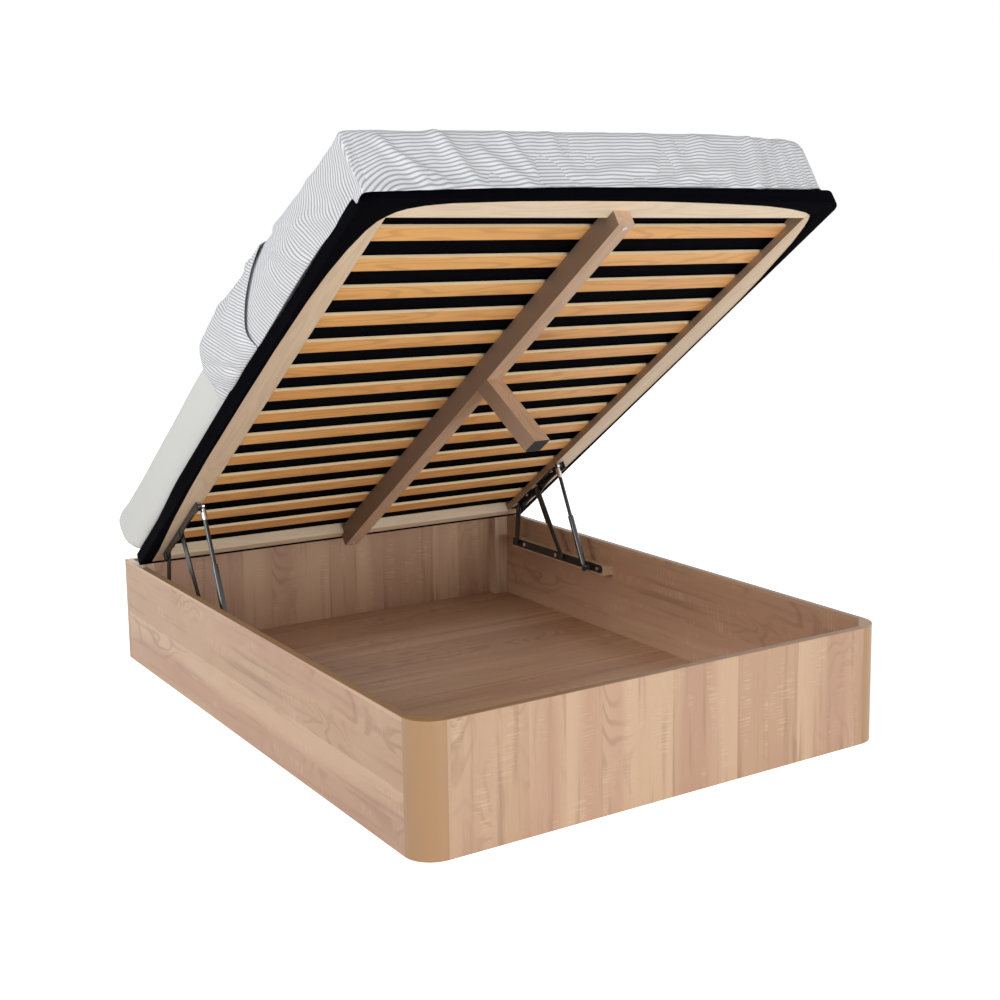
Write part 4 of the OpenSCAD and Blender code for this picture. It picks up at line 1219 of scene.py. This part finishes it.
along = np.linspace(0, 1, 33)
fold_ids = np.arange(len(side_share) * len(along)).reshape(len(side_share), len(along))
S, A = np.meshgrid(side_share, along, indexing="ij")
D = np.broadcast_to(side_drop[:, None], S.shape)
S, A, D = S.ravel(), A.ravel(), D.ravel()
hem_v = between(D, *HEM_AT) + 0.012 * np.sin(S * 7) * (D == 0)
fold_v = between(D, *FOLD_AT)
v_there = hem_v + A * (fold_v - hem_v)
base = cover_place(S, v_there, D)
print("fold net:", fold_ids.shape, "points")

# %% Fold form
quads = grid_quads(fold_ids)
out_of = normals_of(base, quads)
if out_of[fold_ids[len(side_share) // 2, 5], 2] < 0:
    quads, out_of = quads[:, ::-1], -out_of
head_end = np.sqrt(np.clip(1 - (np.maximum(A - 0.74, 0) / 0.26) ** 2, 0, 1))
roll = smooth(A / 0.75) * head_end
on_side = between(D, (0, 0.05, 0.12, 0.187), (1.0, 0.28, 0.20, 0.10))
on_side *= 1 - 0.62 * smooth((np.abs(S) - 0.80) / 0.18) * (D < 0.03)
thick = HEM_THICK + FOLD_RISE * roll * on_side
top = base + out_of * thick[:, None]
fold_run = np.stack([S * 0.7 + np.sign(S) * D, 3.1 - v_there + 0.97 * D], axis=1)
pts, quads, uv = padded_shell(top, quads, fold_run[quads], thick)
print(f"roll up to {thick.max() * 1000:.0f} mm thick")

# %% Swollen fold
flap = cloth_object("bed_cover_fold", pts, quads, uv, cover_cloth)
held = np.arange(len(pts)) >= len(top)
held[: len(top)] = A < 0.09
puff(flap, COVER_AIR, COVER_CAP, held, COVER_SLACK)

# %% Creased fold
loose = (np.arange(len(pts)) < len(top)) * np.append((1 - A**8) * smooth(A / 0.16), A)
p, fine_quads, loose = finer(flap, loose)
skin = normals_of(p, fine_quads)
FLAP_FOLDS = (
    (1.00, 0.19, 1.10, 0.08, 0.022, 0.006), (1.12, 0.23, 1.20, 0.07, 0.024, 0.006),
    (1.24, 0.21, 1.30, 0.10, 0.018, 0.004), (1.34, 0.21, 1.37, 0.14, 0.016, 0.004),
    (0.93, 0.165, 1.12, 0.05, 0.012, -0.009),
)
on_side = smooth((np.abs(p[:, 0]) - 0.62) / 0.06)
crease = ridges(p[:, 1], p[:, 2], FLAP_FOLDS) * on_side
crease += soft_noise(p, 4.5, 7.0) * 0.006 + soft_noise(p, 15.0, 8.0) * 0.002
print(f"creases from {crease.min() * 1000:.0f} to {crease.max() * 1000:.0f} mm")
set_points(flap, p + skin * (crease * loose)[:, None])
tip(flap, 0)
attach(flap, "lid")

# %% [markdown]
# ## Black lid cloth
#
# Fine black cloth is stretched over the frame: a top sheet under the mattress, a skirt down
# the rails and a turned-in border underneath. The opening in the border is wide and nearly
# straight along the sides and curves in at the foot corners. A stretched cloth has no folds,
# so it needs no simulation: rows of points follow the outline and the opening.

# %% Edge of the opening
LID_HALF, LID_LONG, LID_CORNER = 0.673, 1.916, 0.040
# The opening's edge on each side, as (from the centre line, from the foot edge), head end first.
OPEN_LEFT = (
    (0.640, 1.816), (0.646, 1.72), (0.654, 1.60), (0.662, 1.395), (0.666, 1.20), (0.666, 0.873),
    (0.664, 0.626), (0.661, 0.512), (0.658, 0.402), (0.652, 0.298), (0.640, 0.198), (0.624, 0.121),
    (0.611, 0.087), (0.597, 0.068), (0.581, 0.052), (0.560, 0.040), (0.522, 0.028), (0.460, 0.018),
    (0.300, 0.009), (0.150, 0.006), (0, 0.005),
)
OPEN_RIGHT = (
    (0.655, 1.816), (0.660, 1.50), (0.664, 1.20), (0.666, 0.80), (0.666, 0.50), (0.661, 0.376),
    (0.651, 0.275), (0.643, 0.190), (0.628, 0.115), (0.617, 0.080), (0.606, 0.060), (0.581, 0.048),
    (0.524, 0.034), (0.441, 0.022), (0.406, 0.019), (0.300, 0.013), (0.210, 0.009), (0.080, 0.005),
    (0, 0.005),
)


HEAD_BORDER = 0.014  # width of the border at the head
CORNER_FROM_X, CORNER_FROM_D = 0.50, 0.13  # where the opening's corners begin
print("opening:", OPEN_LEFT[4][0] + OPEN_RIGHT[4][0], "m wide")


# %% Following the outline
def outline_run():
    """Half the outline from the head corner to the middle of the foot, evenly spaced."""
    start, r = LID_HALF - LID_CORNER, LID_CORNER
    turn = np.linspace(0, math.pi / 2, 13)
    arc = [(LID_HALF - r * (1 - math.cos(a)), r * (1 - math.sin(a))) for a in turn]
    side = [(LID_HALF, d) for d in np.linspace(LID_LONG, r, 90)[:-1]]
    return np.array(side + arc + [(x, 0.0) for x in np.linspace(start, 0, 36)[1:]])


def run_of(line):
    """Length along a line of points, at each of them."""
    return np.concatenate([[0], np.cumsum(np.linalg.norm(np.diff(line, axis=0), axis=1))])


def outward(key):
    """The place on the outline that an opening place belongs to."""
    x, d = key
    if d > CORNER_FROM_D:
        return np.array([LID_HALF, d])
    if x < CORNER_FROM_X:
        return np.array([x, 0.0])
    turn = math.atan2(CORNER_FROM_D - d, x - CORNER_FROM_X)
    reach = (turn / (math.pi / 2)) * (CORNER_FROM_D + LID_HALF - CORNER_FROM_X)
    if reach < CORNER_FROM_D:
        return np.array([LID_HALF, CORNER_FROM_D - reach])
    return np.array([LID_HALF - (reach - CORNER_FROM_D), 0.0])


def opening_run(line, keys):
    """The opening's edge, one place for each place of the outline, matched by direction."""
    keys = np.array(((keys[0][0], LID_LONG - HEAD_BORDER), *keys))
    length = run_of(line)
    key_at = [length[np.argmin(np.hypot(*(line - outward(k)).T))] for k in keys]
    return np.stack([np.interp(length, key_at, keys[:, i]) for i in (0, 1)], axis=1)


# %% Outline and opening all round
line = outline_run()
mirror = (-1, 1)
head_x = np.linspace(LID_HALF, -LID_HALF, 72)[1:-1]
head_line = np.stack([head_x, np.full(len(head_x), LID_LONG)], 1)
outline = np.concatenate([line * mirror, line[-2::-1], head_line])
hole_x = np.clip(head_x, -OPEN_LEFT[0][0], OPEN_RIGHT[0][0])
hole_head = np.stack([hole_x, np.full(len(head_x), LID_LONG - HEAD_BORDER)], 1)
left, right = opening_run(line, OPEN_LEFT), opening_run(line, OPEN_RIGHT)
hole = np.concatenate([left * mirror, right[-2::-1], hole_head])
print(f"outline {2 * LID_HALF:.3f} x {LID_LONG} m, {len(outline)} points")

# %% Lid cloth
UNDER = -0.0009  # height of the border under the rails; the rim is 2 mm lower when shut
OVER = 0.0355  # height of the top sheet over the rails
PRESSED_OUT = 0.013
# The border and the skirt, from the turn-in up to the top: inset and height.
SKIRT = (
    (0.0025, UNDER), (0.0004, -0.0006), (0, 0.003), (0, 0.012), (0, 0.024), (0, 0.032),
    (0.0006, 0.0348), (0.003, OVER),
)
TOP_INSETS = (0.03, 0.12, 0.3, 0.5)

inward = (np.array([0, LID_LONG / 2]) - outline) / (LID_HALF, LID_LONG / 2)
rows = [(hole + (outline - hole) * share, UNDER) for share in (0, 0.35, 0.7)]
rows += [(outline + inward * inset, z) for inset, z in SKIRT]
rows += [(outline + inward * inset, OVER) for inset in TOP_INSETS]
pts = np.array([(x, LID_LONG - d, z) for row, z in rows for x, d in row])
# The mattress presses the skirt out a little along the left side.
pressed = smooth((pts[:, 1] - 0.2) / 0.35) * smooth((1.45 - pts[:, 1]) / 0.35)
pressed *= smooth((pts[:, 2] - 0.004) / 0.03)
pts[:, 0] -= PRESSED_OUT * pressed * smooth((-pts[:, 0] - 0.60) / 0.06)
ids = np.arange(len(pts)).reshape(len(rows), len(outline))
ids = np.concatenate([ids, ids[:, :1]], axis=1)
faces = [tuple(q) for q in grid_quads(ids)] + [tuple(int(i) for i in ids[-1, :-1][::-1])]
print("lid cloth:", len(faces), "faces")

# %% Lid cloth in place
CLOTH_THICK = 0.0012

black = mesh_object("lid_cloth", pts, faces)
black.data.materials.append(black_cloth)
black.data.polygons.foreach_set("use_smooth", [True] * len(black.data.polygons))
tip(black, 0)
hull = black.modifiers.new("thickness", "SOLIDIFY")
hull.thickness, hull.offset = CLOTH_THICK, 0
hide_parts("lid_cover")
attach(black, "lid")
print("lid cloth:", CLOTH_THICK * 1000, "mm thick")

# %% [markdown]
